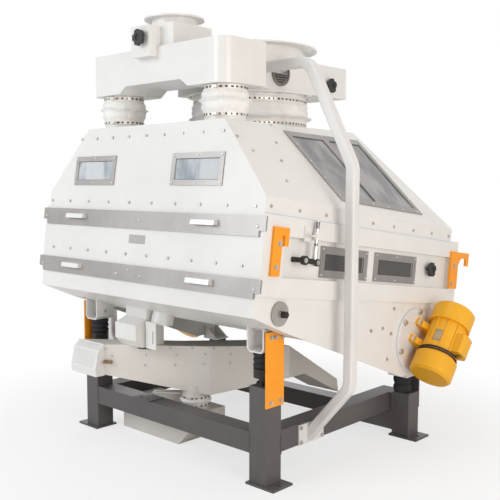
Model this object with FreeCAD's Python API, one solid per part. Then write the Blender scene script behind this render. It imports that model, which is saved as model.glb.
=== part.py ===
import FreeCAD, Part
import math
import os

V = FreeCAD.Vector

# Machine axes: +X to the machine's right, +Y to the rear, +Z up.
# The origin lies on the floor in the middle of the base frame.

# Base frame of square tube
LEG = 100.0
TUBE_WALL = 6.0
FRONT_LEG_X = 615.0
REAR_LEG_X = 714.0
LEG_Y = 505.0
FRONT_LEG_TOP = 447.0
REAR_LEG_TOP = 238.0
FOOT_PLATE = 10.0
FOOT_INNER = 59.0
FOOT_OUTER = 107.0
FOOT_FORE = 66.0
ANCHOR_HOLE_R = 9.0
ANCHOR_OFFSET = 78.0
FRONT_BEAM_Z = (140.0, 235.0)
REAR_BEAM_Z = (30.0, 126.0)
SIDE_BEAM_OUTER = 643.0
SIDE_BEAM_WIDTH = 99.0
SIDE_BEAM_Z = (130.0, 230.0)
GUARD_SHEET = 8.0
TRANSPORT_Y = (-562.0, -446.0)
TRANSPORT_Z = (361.0, 696.0)
PLATE_CLEAR = 12.0

# Vibrating body, drawn level and then tipped nose up about the X axis
DECK_ANGLE = 7.5
SHEET = 6.0
BODY_FRONT = -848.0
BODY_REAR = 762.0
WALL_X = 772.0
BOX_X = 790.0
RECESS_X = 760.0
RECESS_U = (-720.0, 695.0)
RECESS_V = (862.0, 1035.0)
STEP_V = 779.0
BOX_TOP_V = 1117.0
WALL_OUTLINE = ((-848.0, 690.0), (-640.0, 630.0), (-211.0, 526.0), (320.0, 394.0), (450.0, 411.0),
                (762.0, 655.0))
PAN_REAR_U = -500.0
STRIP_HALF = 804.0
STRIP_NOTCH = (36.0, 24.0)
STRIP_SHEET = 8.0
HANDLE_X = (-490.0, 456.0)
HANDLE_HALF = 72.0
HANDLE_SHEET = 4.0
UPPER_STRIP_V = (1020.0, 1104.0)
LOWER_STRIP_V = (769.0, 848.0)
TRAY_SIDE_CLEAR = 22.0
TRAY_HALF = RECESS_X - TRAY_SIDE_CLEAR
TRAY_BAR = 38.0
TRAY_HEIGHT = 36.0
TRAY_REAR = 742.0
RAIL_SHEET = 6.5
RAIL_LIP = 30.0
RUNNING_GAP = 0.5
SLOT_GAP = 4.0

# Tapered hood with a level top
BAND_TOP_V = 1190.0
HOOD_X = 778.0
HOOD_REAR_U = 700.0
HOOD_TOP_Z = 1615.0
HOOD_TOP_HALF = 493.0
HOOD_TOP_Y = (-635.0, 486.0)
HOOD_SHEET = 5.0
FRONT_WINDOWS = ((-566.0, -232.0), (187.0, 521.0))
FRONT_WINDOW_V = (1228.0, 1374.0)
FRONT_FRAME = 25.0
SIDE_WINDOW = ((-230.0, 1583.0), (465.0, 1568.0), (606.0, 1173.0), (-125.0, 1258.0))
SIDE_PANES = ((0.05, 0.44), (0.51, 0.95))
SIDE_PANE_RISE = (0.07, 0.93)
FRAME_SHEET = 5.0
PANE_SHEET = 3.0
RECESS_WINDOWS = ((-439.0, -68.0), (-10.0, 377.0))
RECESS_WINDOW_V = (874.0, 1015.0)
RECESS_FRAME = 34.0

# Springs, seats and brackets
SPRING_X = 605.0
SPRING_R = 47.0
SPRING_Z = (525.0, 600.0)
SEAT_CUP_R = 46.0
SEAT_CUP_HEIGHT = 42.0
STUD_R = 22.0
REAR_SPRING = (704.0, 490.0)
REAR_SPRING_R = 48.0
REAR_SPRING_TOP = 330.0
SPRING_GAP = 0.4
BRACKET_HALF = 50.0
BRACKET_HEIGHT = 120.0
BRACKET_Y = (-562.0, -448.0)

# Vibrating motors: the shaft leans to the rear, square to the throw
MOTOR_LEAN = 40.0
MOTOR_CENTRE = (915.0, 524.0, 522.0)
MOTOR_HALF = 200.0
MOTOR_R = 92.0
HOUSING_HALF = 96.0
CAP_R = 108.0
MOTOR_SHELL = 6.0
SHAFT_R = 16.0
BEARING_GAP = 0.05
FOOT_LUG_Z = (32.0, 66.0)
JUNCTION_INSET = (38.0, 52.0)
JUNCTION_Z = (JUNCTION_INSET[0] - HOUSING_HALF, HOUSING_HALF - JUNCTION_INSET[1])
JUNCTION_REACH = (124.0, 140.0)
JUNCTION_HALF = (46.0, 24.0)
GLAND_X = 112.0
RIB_TURNS = (-100.0, -65.0, -32.0, 32.0, 65.0, 100.0)
RIB_HEIGHT = 6.0
FOOT_LUG_HALF = 112.0
FOOT_BOLT_Y = 94.0
WEIGHT_R = 84.0
DISC_CENTRE = (470.0, 530.0)
DISC_R = 165.0
DISC_SHEET = 18.0
CROSS_TUBE_R = 105.0
CABLE_R = 4.5
CABLE_TURNS = 2
GLAND_DROP = 6.0
GLAND_END = JUNCTION_Z[0] - GLAND_DROP

# Fixed feed and air ducts above the hood
FEED_SLEEVE = (367.0, -505.0)
FEED_SLEEVE_R = 96.0
MAIN_SLEEVE = (0.0, 51.0)
MAIN_SLEEVE_R = 298.0
SLEEVE_Z = (1634.0, 1774.0)
SLEEVE_SHEET = 3.0
SLEEVE_BULGE = 14.0
BAND_WIDTH = 12.0
COLLAR_REACH = 34.0
COLLAR_SHEET = 4.0
HEADER_HALF = 483.0
HEADER_Y = (-628.0, -360.0)
HEADER_Z = (1775.0, 1973.0)
HEADER_CORNER = 65.0
HEADER_RISE = 34.0
HEADER_RISE_HALF = (200.0, 248.0)
DUCT_SHEET = 4.0
NECK_HALF = 130.0
NECK_FRONT = -605.0
NECK_HEIGHT = 107.0
NECK_TOP = HEADER_Z[1] + NECK_HEIGHT
INLET_R = 105.0
INLET_FLANGE_R = 145.0
INLET_RISE = 43.0
INLET_TOP = NECK_TOP + INLET_RISE
FLANGE_SHEET = 8.0
VALVE_BOX_X = (-90.0, 40.0)
VALVE_BOX_Y = -675.0
VALVE_BOX_Z = (1925.0, 2068.0)
VALVE_WHEEL = (-8.0, 2010.0)
FLAP_Z = 1955.0
STACK_HALF = 300.0
STACK_Y = (-195.0, 505.0)
STACK_Z = (1800.0, 1964.0)
STACK_NECK_R = 290.0
STACK_FLANGE_R = 355.0
STACK_NECK_HEIGHT = 74.0
STACK_TOP = STACK_Z[1] + STACK_NECK_HEIGHT
LOWER_FLANGE_R = 335.0
GRILLE_CENTRE = (-55.0, 1886.0)
GRILLE_R = 65.0
DAMPER_WHEEL = (345.0, 1859.0)
HAND_WHEEL_R = 38.0

# Bent square posts that carry the fixed ducts
POST = 50.0
POST_CORNER = 12.0
POST_WALL = 4.0
POST_Y = -225.0
POST_PATH = ((630.0, 148.0), (872.0, 427.0), (872.0, 1414.0), (628.0, 1890.0), (300.0, 1890.0))
POST_BEND = 90.0
POST_FOOT_Y = (-309.0, -125.0)
POST_FOOT_Z = (128.0, 224.0)

# Collecting trough, run on a diagonal in plan under the front
TROUGH_PATH = ((-384.0, -640.0, 346.0), (50.0, -300.0, 250.0), (330.0, 0.0, 336.0))
SPOUT_END = (427.0, 178.0, 253.0)
SKEW = 1.4
TROUGH_WIDTH = 216.0
TROUGH_TOP = 505.0
TROUGH_SHEET = 5.0
COVER_FACES = ((37.0, 28.0), (58.0, 122.0), (54.0, 162.0))
COVER_SHEET = 4.0
LATCH_RUN = 34.0
LATCH_RISE = 70.0
HINGE_GAP = 0.5
DROP_BOX_X = (-342.0, -175.0)
DROP_BOX_Y = (-600.0, -415.0)
DROP_BOX_TOP = 730.0
DROP_BOX_Z = (650.0, 625.0, 545.0)
DROP_BOX_STEP = 70.0
SPOUT_AXIS = (-118.0, -470.0)
SPOUT_R = 56.0
OUTLET = (-58.0, -300.0)
OUTLET_R = 72.0
OUTLET_Z = (186.0, 240.0)
EAR_REACH = 225.0
EAR_HALF = 26.0
EAR_Z = (244.0, 249.0)
CHUTE_X = (-500.0, 40.0)
CHUTE_Y = (-430.0, -180.0)
CHUTE_TOP = 168.0
CHUTE_SLANT = 90.0
CHUTE_SHEET = 4.0

# Side fittings
HOOK_SHEET = 12.0
HOOK_HIGH_V = 1069.0
HOOK_SLOT_V = (993.0, 1036.0)
HOOK_FRONT_U = (-805.0, -709.0)
HOOK_REAR_U = (680.0, 878.0)
HOOK_STEM = 55.0
HOOK_SLOT = 14.0
LEVER_AXIS = (-625.0, 943.0)
LEVER_SHAFT_R = 12.0
ROD_U = -540.0
ROD_R = 8.0
ROD_TOP_V = 1115.0
ROD_X = BOX_X + 22.0
CLEVIS_R = 12.0
CLEVIS_LENGTH = 52.0
EYE_R = 17.0
EYE_DROP = 5.0
PIN_R = 6.0
ROD_BRACKET_V = (1046.0, 1066.0)
KNOB = (502.0, 958.0)
KNOB_SHAFT_R = 8.0
CLAMP_DISC = (-696.0, 711.0)
CLAMP_DISC_R = 53.0

NODES = {}


def keep(name, *shapes):
    """Hold one named sub-component made of one or more solids."""
    solids = [solid for shape in shapes for solid in shape.Solids]
    NODES[name] = solids[0] if len(solids) == 1 else Part.makeCompound(solids)


def box(x, y, z):
    """Block between two X, two Y and two Z values given in any order."""
    spans = [sorted(span) for span in (x, y, z)]
    block = Part.makeBox(*[high - low for low, high in spans])
    block.translate(V(*[low for low, high in spans]))
    return block


def rod(radius, start, end):
    """Round bar from one point to another."""
    axis = V(*end) - V(*start)
    return Part.makeCylinder(radius, axis.Length, V(*start), axis)


def ring(outer, inner, centre, low, high):
    """Upright ring between two heights."""
    bore = rod(inner, (*centre, low - 1), (*centre, high + 1))
    return rod(outer, (*centre, low), (*centre, high)).cut(bore)


def prism(points, push):
    """Closed outline pushed along a direction."""
    loop = [V(*point) for point in points]
    return Part.Face(Part.makePolygon(loop + loop[:1])).extrude(V(*push))


def across(points, left, right):
    """Outline in Y and Z pushed along X from left to right."""
    return prism([(left, y, z) for y, z in points], (right - left, 0, 0))


def frontal(points, start, end):
    """Outline in X and Z pushed along Y."""
    return prism([(x, start, z) for x, z in points], (0, end - start, 0))


def fuse(shapes):
    """Join the pieces of one welded part."""
    joined = shapes[0]
    for shape in shapes[1:]:
        joined = joined.fuse(shape)
    return joined.removeSplitter()


def cut(shape, tools):
    """Take each tool away from a shape."""
    for tool in tools:
        shape = shape.cut(tool)
    return shape


def mirror(shape):
    """The same piece on the machine's other side."""
    return shape.mirror(V(0, 0, 0), V(1, 0, 0))


def tip(shape):
    """Tip a level piece of the vibrating body nose up with the deck."""
    turned = shape.copy()
    turned.rotate(V(0, 0, 0), V(1, 0, 0), -DECK_ANGLE)
    return turned


def machine(u, v):
    """Machine Y and Z of a point of the level body."""
    angle = math.radians(DECK_ANGLE)
    return (u * math.cos(angle) + v * math.sin(angle), v * math.cos(angle) - u * math.sin(angle))


def hand_wheel(centre, axis):
    """Dished wheel with five lobes round its rim and a hub behind it."""
    disc = Part.makeCylinder(HAND_WHEEL_R, 14, V(0, 0, 12), V(0, 0, 1))
    lobes = []
    for step in range(5):
        turn = math.radians(72 * step)
        spot = V(math.cos(turn), math.sin(turn), 0) * (HAND_WHEEL_R + 6)
        lobes.append(Part.makeCylinder(13, 16, spot + V(0, 0, 11), V(0, 0, 1)))
    dish = Part.makeCone(22, 14, 5, V(0, 0, 21.5), V(0, 0, 1))
    hub = Part.makeCylinder(13, 14, V(0, 0, 0), V(0, 0, 1))
    wheel = fuse([cut(disc, lobes + [dish]), hub])
    wheel.Placement = FreeCAD.Placement(V(*centre), FreeCAD.Rotation(V(0, 0, 1), V(*axis)))
    return wheel


# Base frame


def square_tube(x, y, z, along):
    """Square hollow section, open at both ends along one axis."""
    bore = [sorted(span) for span in (x, y, z)]
    for axis in range(3):
        low, high = bore[axis]
        bore[axis] = (low - 1, high + 1) if axis == along else (low + TUBE_WALL, high - TUBE_WALL)
    return box(x, y, z).cut(box(*bore))


def leg(x, y, top):
    """Leg tube with its cap and its foot plate with one anchor hole."""
    half = LEG / 2
    tube = square_tube((x - half, x + half), (y - half, y + half), (FOOT_PLATE, top - TUBE_WALL), 2)
    cap = box((x - half, x + half), (y - half, y + half), (top - TUBE_WALL, top))
    foot = box((x - FOOT_INNER, x + FOOT_OUTER), (y - FOOT_FORE, y + FOOT_FORE), (0, FOOT_PLATE))
    hole = rod(ANCHOR_HOLE_R, (x + ANCHOR_OFFSET, y, -1), (x + ANCHOR_OFFSET, y, FOOT_PLATE + 1))
    return fuse([tube, cap, foot]).cut(hole)


def base_frame():
    """Four legs and four beams of welded square tube."""
    half = LEG / 2
    front = leg(FRONT_LEG_X, -LEG_Y, FRONT_LEG_TOP)
    keep("front_legs", front, mirror(front))
    rear = leg(REAR_LEG_X, LEG_Y, REAR_LEG_TOP)
    guard = box((REAR_LEG_X - 24, REAR_LEG_X + half), (LEG_Y + half, LEG_Y + half + GUARD_SHEET), (150, 332))
    rear = fuse([rear, guard])
    keep("rear_legs", rear, mirror(rear))
    inner = SIDE_BEAM_OUTER - SIDE_BEAM_WIDTH
    side = square_tube((inner, SIDE_BEAM_OUTER), (half - LEG_Y, LEG_Y + half), SIDE_BEAM_Z, 1)
    pad = box((SIDE_BEAM_OUTER, REAR_LEG_X - half), (LEG_Y - half, LEG_Y + half), SIDE_BEAM_Z)
    side = fuse([side, pad])
    keep("side_beams", side, mirror(side))
    inner = FRONT_LEG_X - half
    beam = square_tube((-inner, inner), (-LEG_Y - half, half - LEG_Y), FRONT_BEAM_Z, 0)
    plate = box((-250, -120), (-LEG_Y - half - 8, 40 - LEG_Y), (FRONT_BEAM_Z[1], FRONT_BEAM_Z[1] + SHEET))
    holes = [rod(8, (x, -LEG_Y - 30, 238), (x, -LEG_Y - 30, 250)) for x in (-215, -155)]
    keep("front_beam", fuse([beam, cut(plate, holes)]))
    inner = REAR_LEG_X - half
    keep("rear_beam", square_tube((-inner, inner), (LEG_Y - half, LEG_Y + half), REAR_BEAM_Z, 0))


def transport_plates():
    """Orange plates on the front legs that lock the body for transport."""
    x = FRONT_LEG_X + LEG / 2
    plate = box((x, x + 8), TRANSPORT_Y, TRANSPORT_Z)
    middle = sum(TRANSPORT_Y) / 2
    low, high = TRANSPORT_Z
    slot = box((x - 1, x + 9), (middle - 22, middle - 8), (high - 34, high - 18))
    ends = [rod(8, (x - 1, middle + shift, high - 26), (x + 9, middle + shift, high - 26))
            for shift in (-22, -8)]
    holes = [rod(6, (x - 1, middle + shift, low + 22), (x + 9, middle + shift, low + 22))
             for shift in (-30, 30)]
    holes.append(rod(6, (x - 1, middle + 42, high - 26), (x + 9, middle + 42, high - 26)))
    plate = cut(plate, [slot] + ends + holes)
    keep("transport_plates", plate, mirror(plate))


# Springs


def ribbed(centre, low, high, radius, ribs):
    """Rubber spring with rounded ribs, turned about its upright axis."""
    height = (high - low) / ribs
    outline = [(0, low)]
    for rib in range(ribs):
        base = low + rib * height
        outline += [(radius * 0.8, base), (radius, base + height * 0.28), (radius, base + height * 0.72)]
    outline += [(radius * 0.8, high), (0, high)]
    points = [V(r, 0, z) for r, z in outline]
    solid = Part.Face(Part.makePolygon(points + points[:1])).revolve(V(0, 0, 0), V(0, 0, 1), 360)
    solid.translate(V(*centre, 0))
    return solid


def springs():
    """Front studs, cups and rubber springs, and the rear rubber springs."""
    y = -LEG_Y
    low, high = SPRING_Z
    stud = rod(STUD_R, (SPRING_X, y, FRONT_LEG_TOP), (SPRING_X, y, low - SEAT_CUP_HEIGHT))
    nut_low = FRONT_LEG_TOP
    nut = prism([(SPRING_X + 34 * math.cos(math.radians(turn)), y + 34 * math.sin(math.radians(turn)),
                  nut_low)
                 for turn in range(0, 360, 60)], (0, 0, 14))
    cup = rod(SEAT_CUP_R, (SPRING_X, y, low - SEAT_CUP_HEIGHT), (SPRING_X, y, low))
    seat = fuse([stud, nut, cup])
    keep("front_spring_seats", seat, mirror(seat))
    front = ribbed((SPRING_X, y), low, high - SPRING_GAP, SPRING_R, 3)
    keep("front_springs", front, mirror(front))
    rear = ribbed(REAR_SPRING, REAR_LEG_TOP, REAR_SPRING_TOP - SPRING_GAP, REAR_SPRING_R, 2)
    keep("rear_springs", rear, mirror(rear))


def bottom_line(extra):
    """Machine outline of all that lies above the body's lower edge."""
    points = [machine(u, v) for u, v in WALL_OUTLINE]
    return points + [(points[-1][0], points[-1][1] + extra), (points[0][0], points[0][1] + extra)]


def spring_brackets():
    """Channels over the front springs and angle feet over the rear ones."""
    x, low = SPRING_X, SPRING_Z[1]
    left, right = x - BRACKET_HALF, x + BRACKET_HALF
    profile = [(left, low + BRACKET_HEIGHT), (left, low + 16), (left + 16, low),
               (right - 16, low), (right, low + 16), (right, low + BRACKET_HEIGHT)]
    inner = [(x - BRACKET_HALF + SHEET, low + BRACKET_HEIGHT + 10), (x - BRACKET_HALF + SHEET, low + 18),
             (x - BRACKET_HALF + 18, low + SHEET), (x + BRACKET_HALF - 18, low + SHEET),
             (x + BRACKET_HALF - SHEET, low + 18), (x + BRACKET_HALF - SHEET, low + BRACKET_HEIGHT + 10)]
    channel = frontal(profile, *BRACKET_Y).cut(frontal(inner, BRACKET_Y[0] - 1, BRACKET_Y[1] + 1))
    front = channel.cut(across(bottom_line(400), x - 100, x + 100))
    sx, sy = REAR_SPRING
    seat = box((sx - 54, WALL_X - SHEET), (sy - 56, sy + 56), (REAR_SPRING_TOP, REAR_SPRING_TOP + 8))
    web = box((WALL_X - 2 * SHEET, WALL_X - SHEET), (sy - 56, sy + 56),
              (REAR_SPRING_TOP, REAR_SPRING_TOP + 90))
    gussets = []
    for shift in (-50, 44):
        outline = [(sx - 50, REAR_SPRING_TOP + 8), (WALL_X - 2 * SHEET, REAR_SPRING_TOP + 8),
                   (WALL_X - 2 * SHEET, REAR_SPRING_TOP + 84)]
        gussets.append(frontal(outline, sy + shift, sy + shift + SHEET))
    rear = fuse([seat, web] + gussets)
    keep("spring_brackets", front, mirror(front), rear, mirror(rear))


# Vibrating body


def side_wall():
    """Folded right wall: lower plate, stepped box rail, recess, end posts and tray rails."""
    plate_outline = list(WALL_OUTLINE) + [(BODY_REAR, STEP_V + SHEET), (BODY_FRONT, STEP_V + SHEET)]
    plate = across(plate_outline, WALL_X - SHEET, WALL_X)
    low, high = RECESS_V
    skin = [(WALL_X - SHEET, STEP_V), (BOX_X, STEP_V), (BOX_X, low), (RECESS_X, low), (RECESS_X, high),
            (BOX_X, high),
            (BOX_X, BOX_TOP_V), (RECESS_X, BOX_TOP_V), (RECESS_X, BOX_TOP_V - SHEET),
            (BOX_X - SHEET, BOX_TOP_V - SHEET), (BOX_X - SHEET, high + SHEET),
            (RECESS_X - SHEET, high + SHEET),
            (RECESS_X - SHEET, low - SHEET), (BOX_X - SHEET, low - SHEET), (BOX_X - SHEET, STEP_V + SHEET),
            (WALL_X - SHEET, STEP_V + SHEET)]
    rail = frontal(skin, BODY_FRONT, BODY_REAR)
    posts = []
    for end, inner in ((BODY_FRONT, RECESS_U[0]), (BODY_REAR, RECESS_U[1])):
        toward = SHEET if inner < end else -SHEET
        posts.append(box((BOX_X - SHEET, BOX_X), (end, inner), (low - 1, high + 1)))
        posts.append(box((RECESS_X - 1, BOX_X), (inner, inner + toward), (low - 1, high + 1)))
    openings = []
    for start, end in RECESS_WINDOWS:
        openings.append(box((RECESS_X - 20, RECESS_X + 20), (start + RECESS_FRAME, end - RECESS_FRAME),
                            (RECESS_WINDOW_V[0] + RECESS_FRAME, RECESS_WINDOW_V[1] - RECESS_FRAME)))
    lever_u, lever_v = LEVER_AXIS
    start, end = (RECESS_X - 20, lever_u, lever_v), (RECESS_X + 20, lever_u, lever_v)
    openings.append(rod(LEVER_SHAFT_R + RUNNING_GAP, start, end))
    openings.append(rod(KNOB_SHAFT_R + RUNNING_GAP, (RECESS_X - 20, *KNOB), (RECESS_X + 20, *KNOB)))
    wall = cut(fuse([plate, rail] + posts), openings)
    return fuse([wall] + [tray_rail(base) for base in (STEP_V + SHEET, high + SHEET)])


def tray_rail(base):
    """Angle rail that a screen tray slides on."""
    inner = TRAY_HALF - 26
    lip = TRAY_HALF + RUNNING_GAP
    top = base + RAIL_SHEET
    profile = [(inner, base), (BOX_X - SHEET, base), (BOX_X - SHEET, top), (lip + SHEET, top),
               (lip + SHEET, base + RAIL_LIP), (lip, base + RAIL_LIP), (lip, top), (inner, top)]
    return frontal(profile, BODY_FRONT, TRAY_REAR)


def end_walls():
    """Front wall with its two tray slots and pan, and the rear wall."""
    low_v = WALL_OUTLINE[0][1]
    outline = [(-WALL_X, low_v), (WALL_X, low_v), (WALL_X, STEP_V), (BOX_X, STEP_V), (BOX_X, BOX_TOP_V),
               (-BOX_X, BOX_TOP_V), (-BOX_X, STEP_V), (-WALL_X, STEP_V)]
    front = frontal(outline, BODY_FRONT - SHEET, BODY_FRONT)
    slots = []
    for base in tray_bases():
        reach = TRAY_HALF + SLOT_GAP
        slots.append(box((-reach, reach), (BODY_FRONT - 20, BODY_FRONT + 20),
                         (base - SLOT_GAP, base + TRAY_HEIGHT + SLOT_GAP)))
    (u0, v0), (u1, v1), (u2, v2) = WALL_OUTLINE[:3]
    end_v = v1 + (v2 - v1) * (PAN_REAR_U - u1) / (u2 - u1)
    pan = across([(u0, v0), (u1, v1), (PAN_REAR_U, end_v), (PAN_REAR_U, end_v + SHEET), (u1, v1 + SHEET),
                  (u0, v0 + SHEET)], SHEET - WALL_X, WALL_X - SHEET)
    panel = tip(fuse([cut(front, slots), pan]))
    x = FRONT_LEG_X + LEG / 2
    slot = box((x - PLATE_CLEAR, x + 8 + PLATE_CLEAR),
               (TRANSPORT_Y[0] - PLATE_CLEAR, TRANSPORT_Y[1] + PLATE_CLEAR),
               (TRANSPORT_Z[1] - 80, TRANSPORT_Z[1] + 60))
    x0, x1 = DROP_BOX_X
    hatch = box((x0 + 8, x1 - 8), (DROP_BOX_Y[1] - 100, DROP_BOX_Y[1] - 8),
                (TRANSPORT_Z[1] - 80, TRANSPORT_Z[1] + 60))
    keep("front_wall", cut(panel, [slot, mirror(slot), hatch]))
    v5 = WALL_OUTLINE[5][1]
    rear = box((-BOX_X, BOX_X), (BODY_REAR, BODY_REAR + SHEET), (STEP_V, BOX_TOP_V))
    skirt = box((-WALL_X, WALL_X), (BODY_REAR, BODY_REAR + SHEET), (v5, STEP_V))
    flange = box((-BOX_X, BOX_X), (HOOD_REAR_U, BODY_REAR + SHEET), (BOX_TOP_V, BOX_TOP_V + SHEET))
    keep("rear_wall", tip(fuse([rear, skirt, flange])))


def tray_bases():
    """Lower faces of the lower and the upper tray."""
    rest = RAIL_SHEET + RUNNING_GAP
    return (STEP_V + SHEET + rest, RECESS_V[1] + SHEET + rest)


def screen_tray(name, base, strip):
    """Sliding tray with its crossbars, its screen and its handled cover."""
    front = BODY_FRONT - SHEET - RUNNING_GAP
    top = base + TRAY_HEIGHT
    outer = box((-TRAY_HALF, TRAY_HALF), (front, TRAY_REAR), (base, top))
    well = box((TRAY_BAR - TRAY_HALF, TRAY_HALF - TRAY_BAR), (front + TRAY_BAR, TRAY_REAR - TRAY_BAR),
               (base - 1, top + 1))
    bars = []
    length = TRAY_REAR - TRAY_BAR - front - TRAY_BAR
    for step in range(1, 4):
        middle = front + TRAY_BAR + length * step / 4
        bars.append(box((TRAY_BAR - TRAY_HALF, TRAY_HALF - TRAY_BAR), (middle - 10, middle + 10),
                        (base, top - 8)))
    bars.append(box((-10, 10), (front + TRAY_BAR, TRAY_REAR - TRAY_BAR), (base, top - 8)))
    keep(name + "_tray", tip(fuse([outer.cut(well)] + bars)))
    screen = box((TRAY_BAR - TRAY_HALF, TRAY_HALF - TRAY_BAR), (front + TRAY_BAR, TRAY_REAR - TRAY_BAR),
                 (top - 8, top - 5))
    keep(name + "_screen", tip(screen))
    low, high = strip
    notch_x, notch_v = STRIP_NOTCH
    half = [(STRIP_HALF, high), (STRIP_HALF, low + notch_v), (STRIP_HALF - notch_x, low + notch_v),
            (STRIP_HALF - notch_x, low)]
    outline = half + [(-x, v) for x, v in reversed(half)]
    strip_plate = frontal(outline, front - STRIP_SHEET, front)
    pieces = [strip_plate]
    for x in HANDLE_X:
        pieces.append(cover_handle(x, (low + high) / 2 + 6, front - STRIP_SHEET))
    keep(name + "_cover", tip(fuse(pieces)))


def cover_handle(x, v, face):
    """Hooded finger pull with a hollow underside."""
    outer = [(face, v + 14), (face - 22, v + 8), (face - 24, v - 12), (face, v - 12)]
    inner = [(face, v + 10), (face - 19, v + 5), (face - 21, v - 13), (face, v - 13)]
    shell = across(outer, x - HANDLE_HALF, x + HANDLE_HALF)
    hollow = across(inner, x + HANDLE_SHEET - HANDLE_HALF, x + HANDLE_HALF - HANDLE_SHEET)
    return shell.cut(hollow)


# Hood


def side_plane():
    """A point of the hood's right side face and the face's outward normal."""
    front = V(HOOD_X, *machine(BODY_FRONT, BAND_TOP_V))
    rear = V(HOOD_X, *machine(HOOD_REAR_U, BAND_TOP_V))
    top = V(HOOD_TOP_HALF, HOOD_TOP_Y[0], HOOD_TOP_Z)
    normal = (rear - front).cross(top - front)
    normal.normalize()
    return front, normal


def on_side(y, z, lift):
    """Point of the right side face at a given Y and Z, lifted off it."""
    base, normal = side_plane()
    x = base.x - (normal.y * (y - base.y) + normal.z * (z - base.z)) / normal.x
    return V(x, y, z) + normal * lift


def hood_form(inset):
    """Hood form drawn in by a sheet: a level band and four planes that meet a level top."""
    rings = []
    inward = inset / side_plane()[1].x
    half = HOOD_X - inward
    for v in (BOX_TOP_V - inset, BAND_TOP_V):
        (y0, z0), (y1, z1) = machine(BODY_FRONT + inset, v), machine(HOOD_REAR_U - inset, v)
        rings.append([V(-half, y0, z0), V(half, y0, z0), V(half, y1, z1), V(-half, y1, z1)])
    y0, y1 = HOOD_TOP_Y
    top = HOOD_TOP_Z - inset
    y0, y1 = y0 + inset, y1 - inset
    front_half = on_side(y0, top, 0).x - inward
    rear_half = on_side(y1, top, 0).x - inward
    rings.append([V(-front_half, y0, top), V(front_half, y0, top), V(rear_half, y1, top),
                  V(-rear_half, y1, top)])
    faces = [Part.Face(Part.makePolygon(loop + loop[:1])) for loop in (rings[0], rings[2])]
    for low, high in zip(rings, rings[1:]):
        for corner in range(4):
            after = (corner + 1) % 4
            loop = [low[corner], low[after], high[after], high[corner]]
            faces.append(Part.Face(Part.makePolygon(loop + loop[:1])))
    form = Part.makeSolid(Part.makeShell(faces))
    return form if form.Volume > 0 else form.reversed()


def window_point(s, t, lift):
    """Point of the side window, from its front top corner to its rear bottom one."""
    (ya, za), (yb, zb), (yc, zc), (yd, zd) = SIDE_WINDOW
    y = (1 - t) * ((1 - s) * ya + s * yb) + t * ((1 - s) * yd + s * yc)
    z = (1 - t) * ((1 - s) * za + s * zb) + t * ((1 - s) * zd + s * zc)
    return on_side(y, z, lift)


def window_plate(s0, s1, t0, t1, low, high):
    """Slanted plate on the hood's side between two lifts off the face."""
    corners = [window_point(s, t, low) for s, t in ((s0, t0), (s1, t0), (s1, t1), (s0, t1))]
    normal = side_plane()[1]
    return Part.Face(Part.makePolygon(corners + corners[:1])).extrude(normal * (high - low))


def hood():
    """Thin tapered hood of four walls, a top plate with three welded collars, and its windows."""
    shell = hood_form(0).cut(hood_form(HOOD_SHEET))
    feed_x, feed_y = FEED_SLEEVE
    collars, holes = [], []
    for centre, radius in (((feed_x, feed_y), FEED_SLEEVE_R), ((-feed_x, feed_y), FEED_SLEEVE_R),
                           (MAIN_SLEEVE, MAIN_SLEEVE_R)):
        outer = radius - RUNNING_GAP
        inner = outer - COLLAR_SHEET
        collars.append(ring(outer, inner, centre, HOOD_TOP_Z, SLEEVE_Z[0] + COLLAR_REACH))
        holes.append(rod(inner, (*centre, HOOD_TOP_Z - 20), (*centre, HOOD_TOP_Z + 20)))
    slice_z = (HOOD_TOP_Z - HOOD_SHEET, HOOD_TOP_Z + HOOD_SHEET)
    top_slice = box((-HOOD_X, HOOD_X), (BODY_FRONT, BODY_REAR), slice_z)
    plate = cut(shell.common(top_slice), holes)
    walls = shell.cut(top_slice)
    low, high = FRONT_WINDOW_V
    tools = []
    for x0, x1 in FRONT_WINDOWS:
        tools.append(tip(box((x0 + FRONT_FRAME, x1 - FRONT_FRAME), (BODY_FRONT - 60, BODY_FRONT + 80),
                             (low + FRONT_FRAME, high - FRONT_FRAME))))
    for start, end in SIDE_PANES:
        hole = window_plate(start, end, *SIDE_PANE_RISE, -20, 20)
        tools += [hole, mirror(hole)]
    keep("hood", cut(walls, tools), plate, *collars)
    frame = window_plate(0, 1, 0, 1, 0, FRAME_SHEET)
    glass = []
    for start, end in SIDE_PANES:
        frame = frame.cut(window_plate(start, end, *SIDE_PANE_RISE, -1, FRAME_SHEET + 1))
        glass.append(window_plate(start, end, *SIDE_PANE_RISE, -PANE_SHEET, 0))
    recess_frames, recess_glass = recess_windows()
    keep("window_frames", frame, mirror(frame), *front_frames(), *recess_frames)
    keep("window_panes", *glass, *[mirror(pane) for pane in glass], *front_panes(), *recess_glass)


def front_face_plane():
    """Lean of the hood's front face from the upright, in degrees."""
    y, z = machine(BODY_FRONT, BAND_TOP_V)
    return math.degrees(math.atan2(HOOD_TOP_Y[0] - y, HOOD_TOP_Z - z))


def on_front(shape):
    """Seat a plate drawn on the upright plane Y = 0 against the hood's front face."""
    y, z = machine(BODY_FRONT, BAND_TOP_V)
    seated = shape.copy()
    seated.rotate(V(0, 0, 0), V(1, 0, 0), -front_face_plane())
    seated.translate(V(0, y, z))
    return seated


def front_frames():
    """Stainless frames of the two front windows."""
    low, high = (value - BAND_TOP_V for value in FRONT_WINDOW_V)
    frames = []
    for x0, x1 in FRONT_WINDOWS:
        sheet = box((x0, x1), (-FRAME_SHEET, 0), (low, high))
        opening = box((x0 + FRONT_FRAME, x1 - FRONT_FRAME), (-20, 20),
                      (low + FRONT_FRAME, high - FRONT_FRAME))
        frames.append(on_front(sheet.cut(opening)))
    return frames


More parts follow.
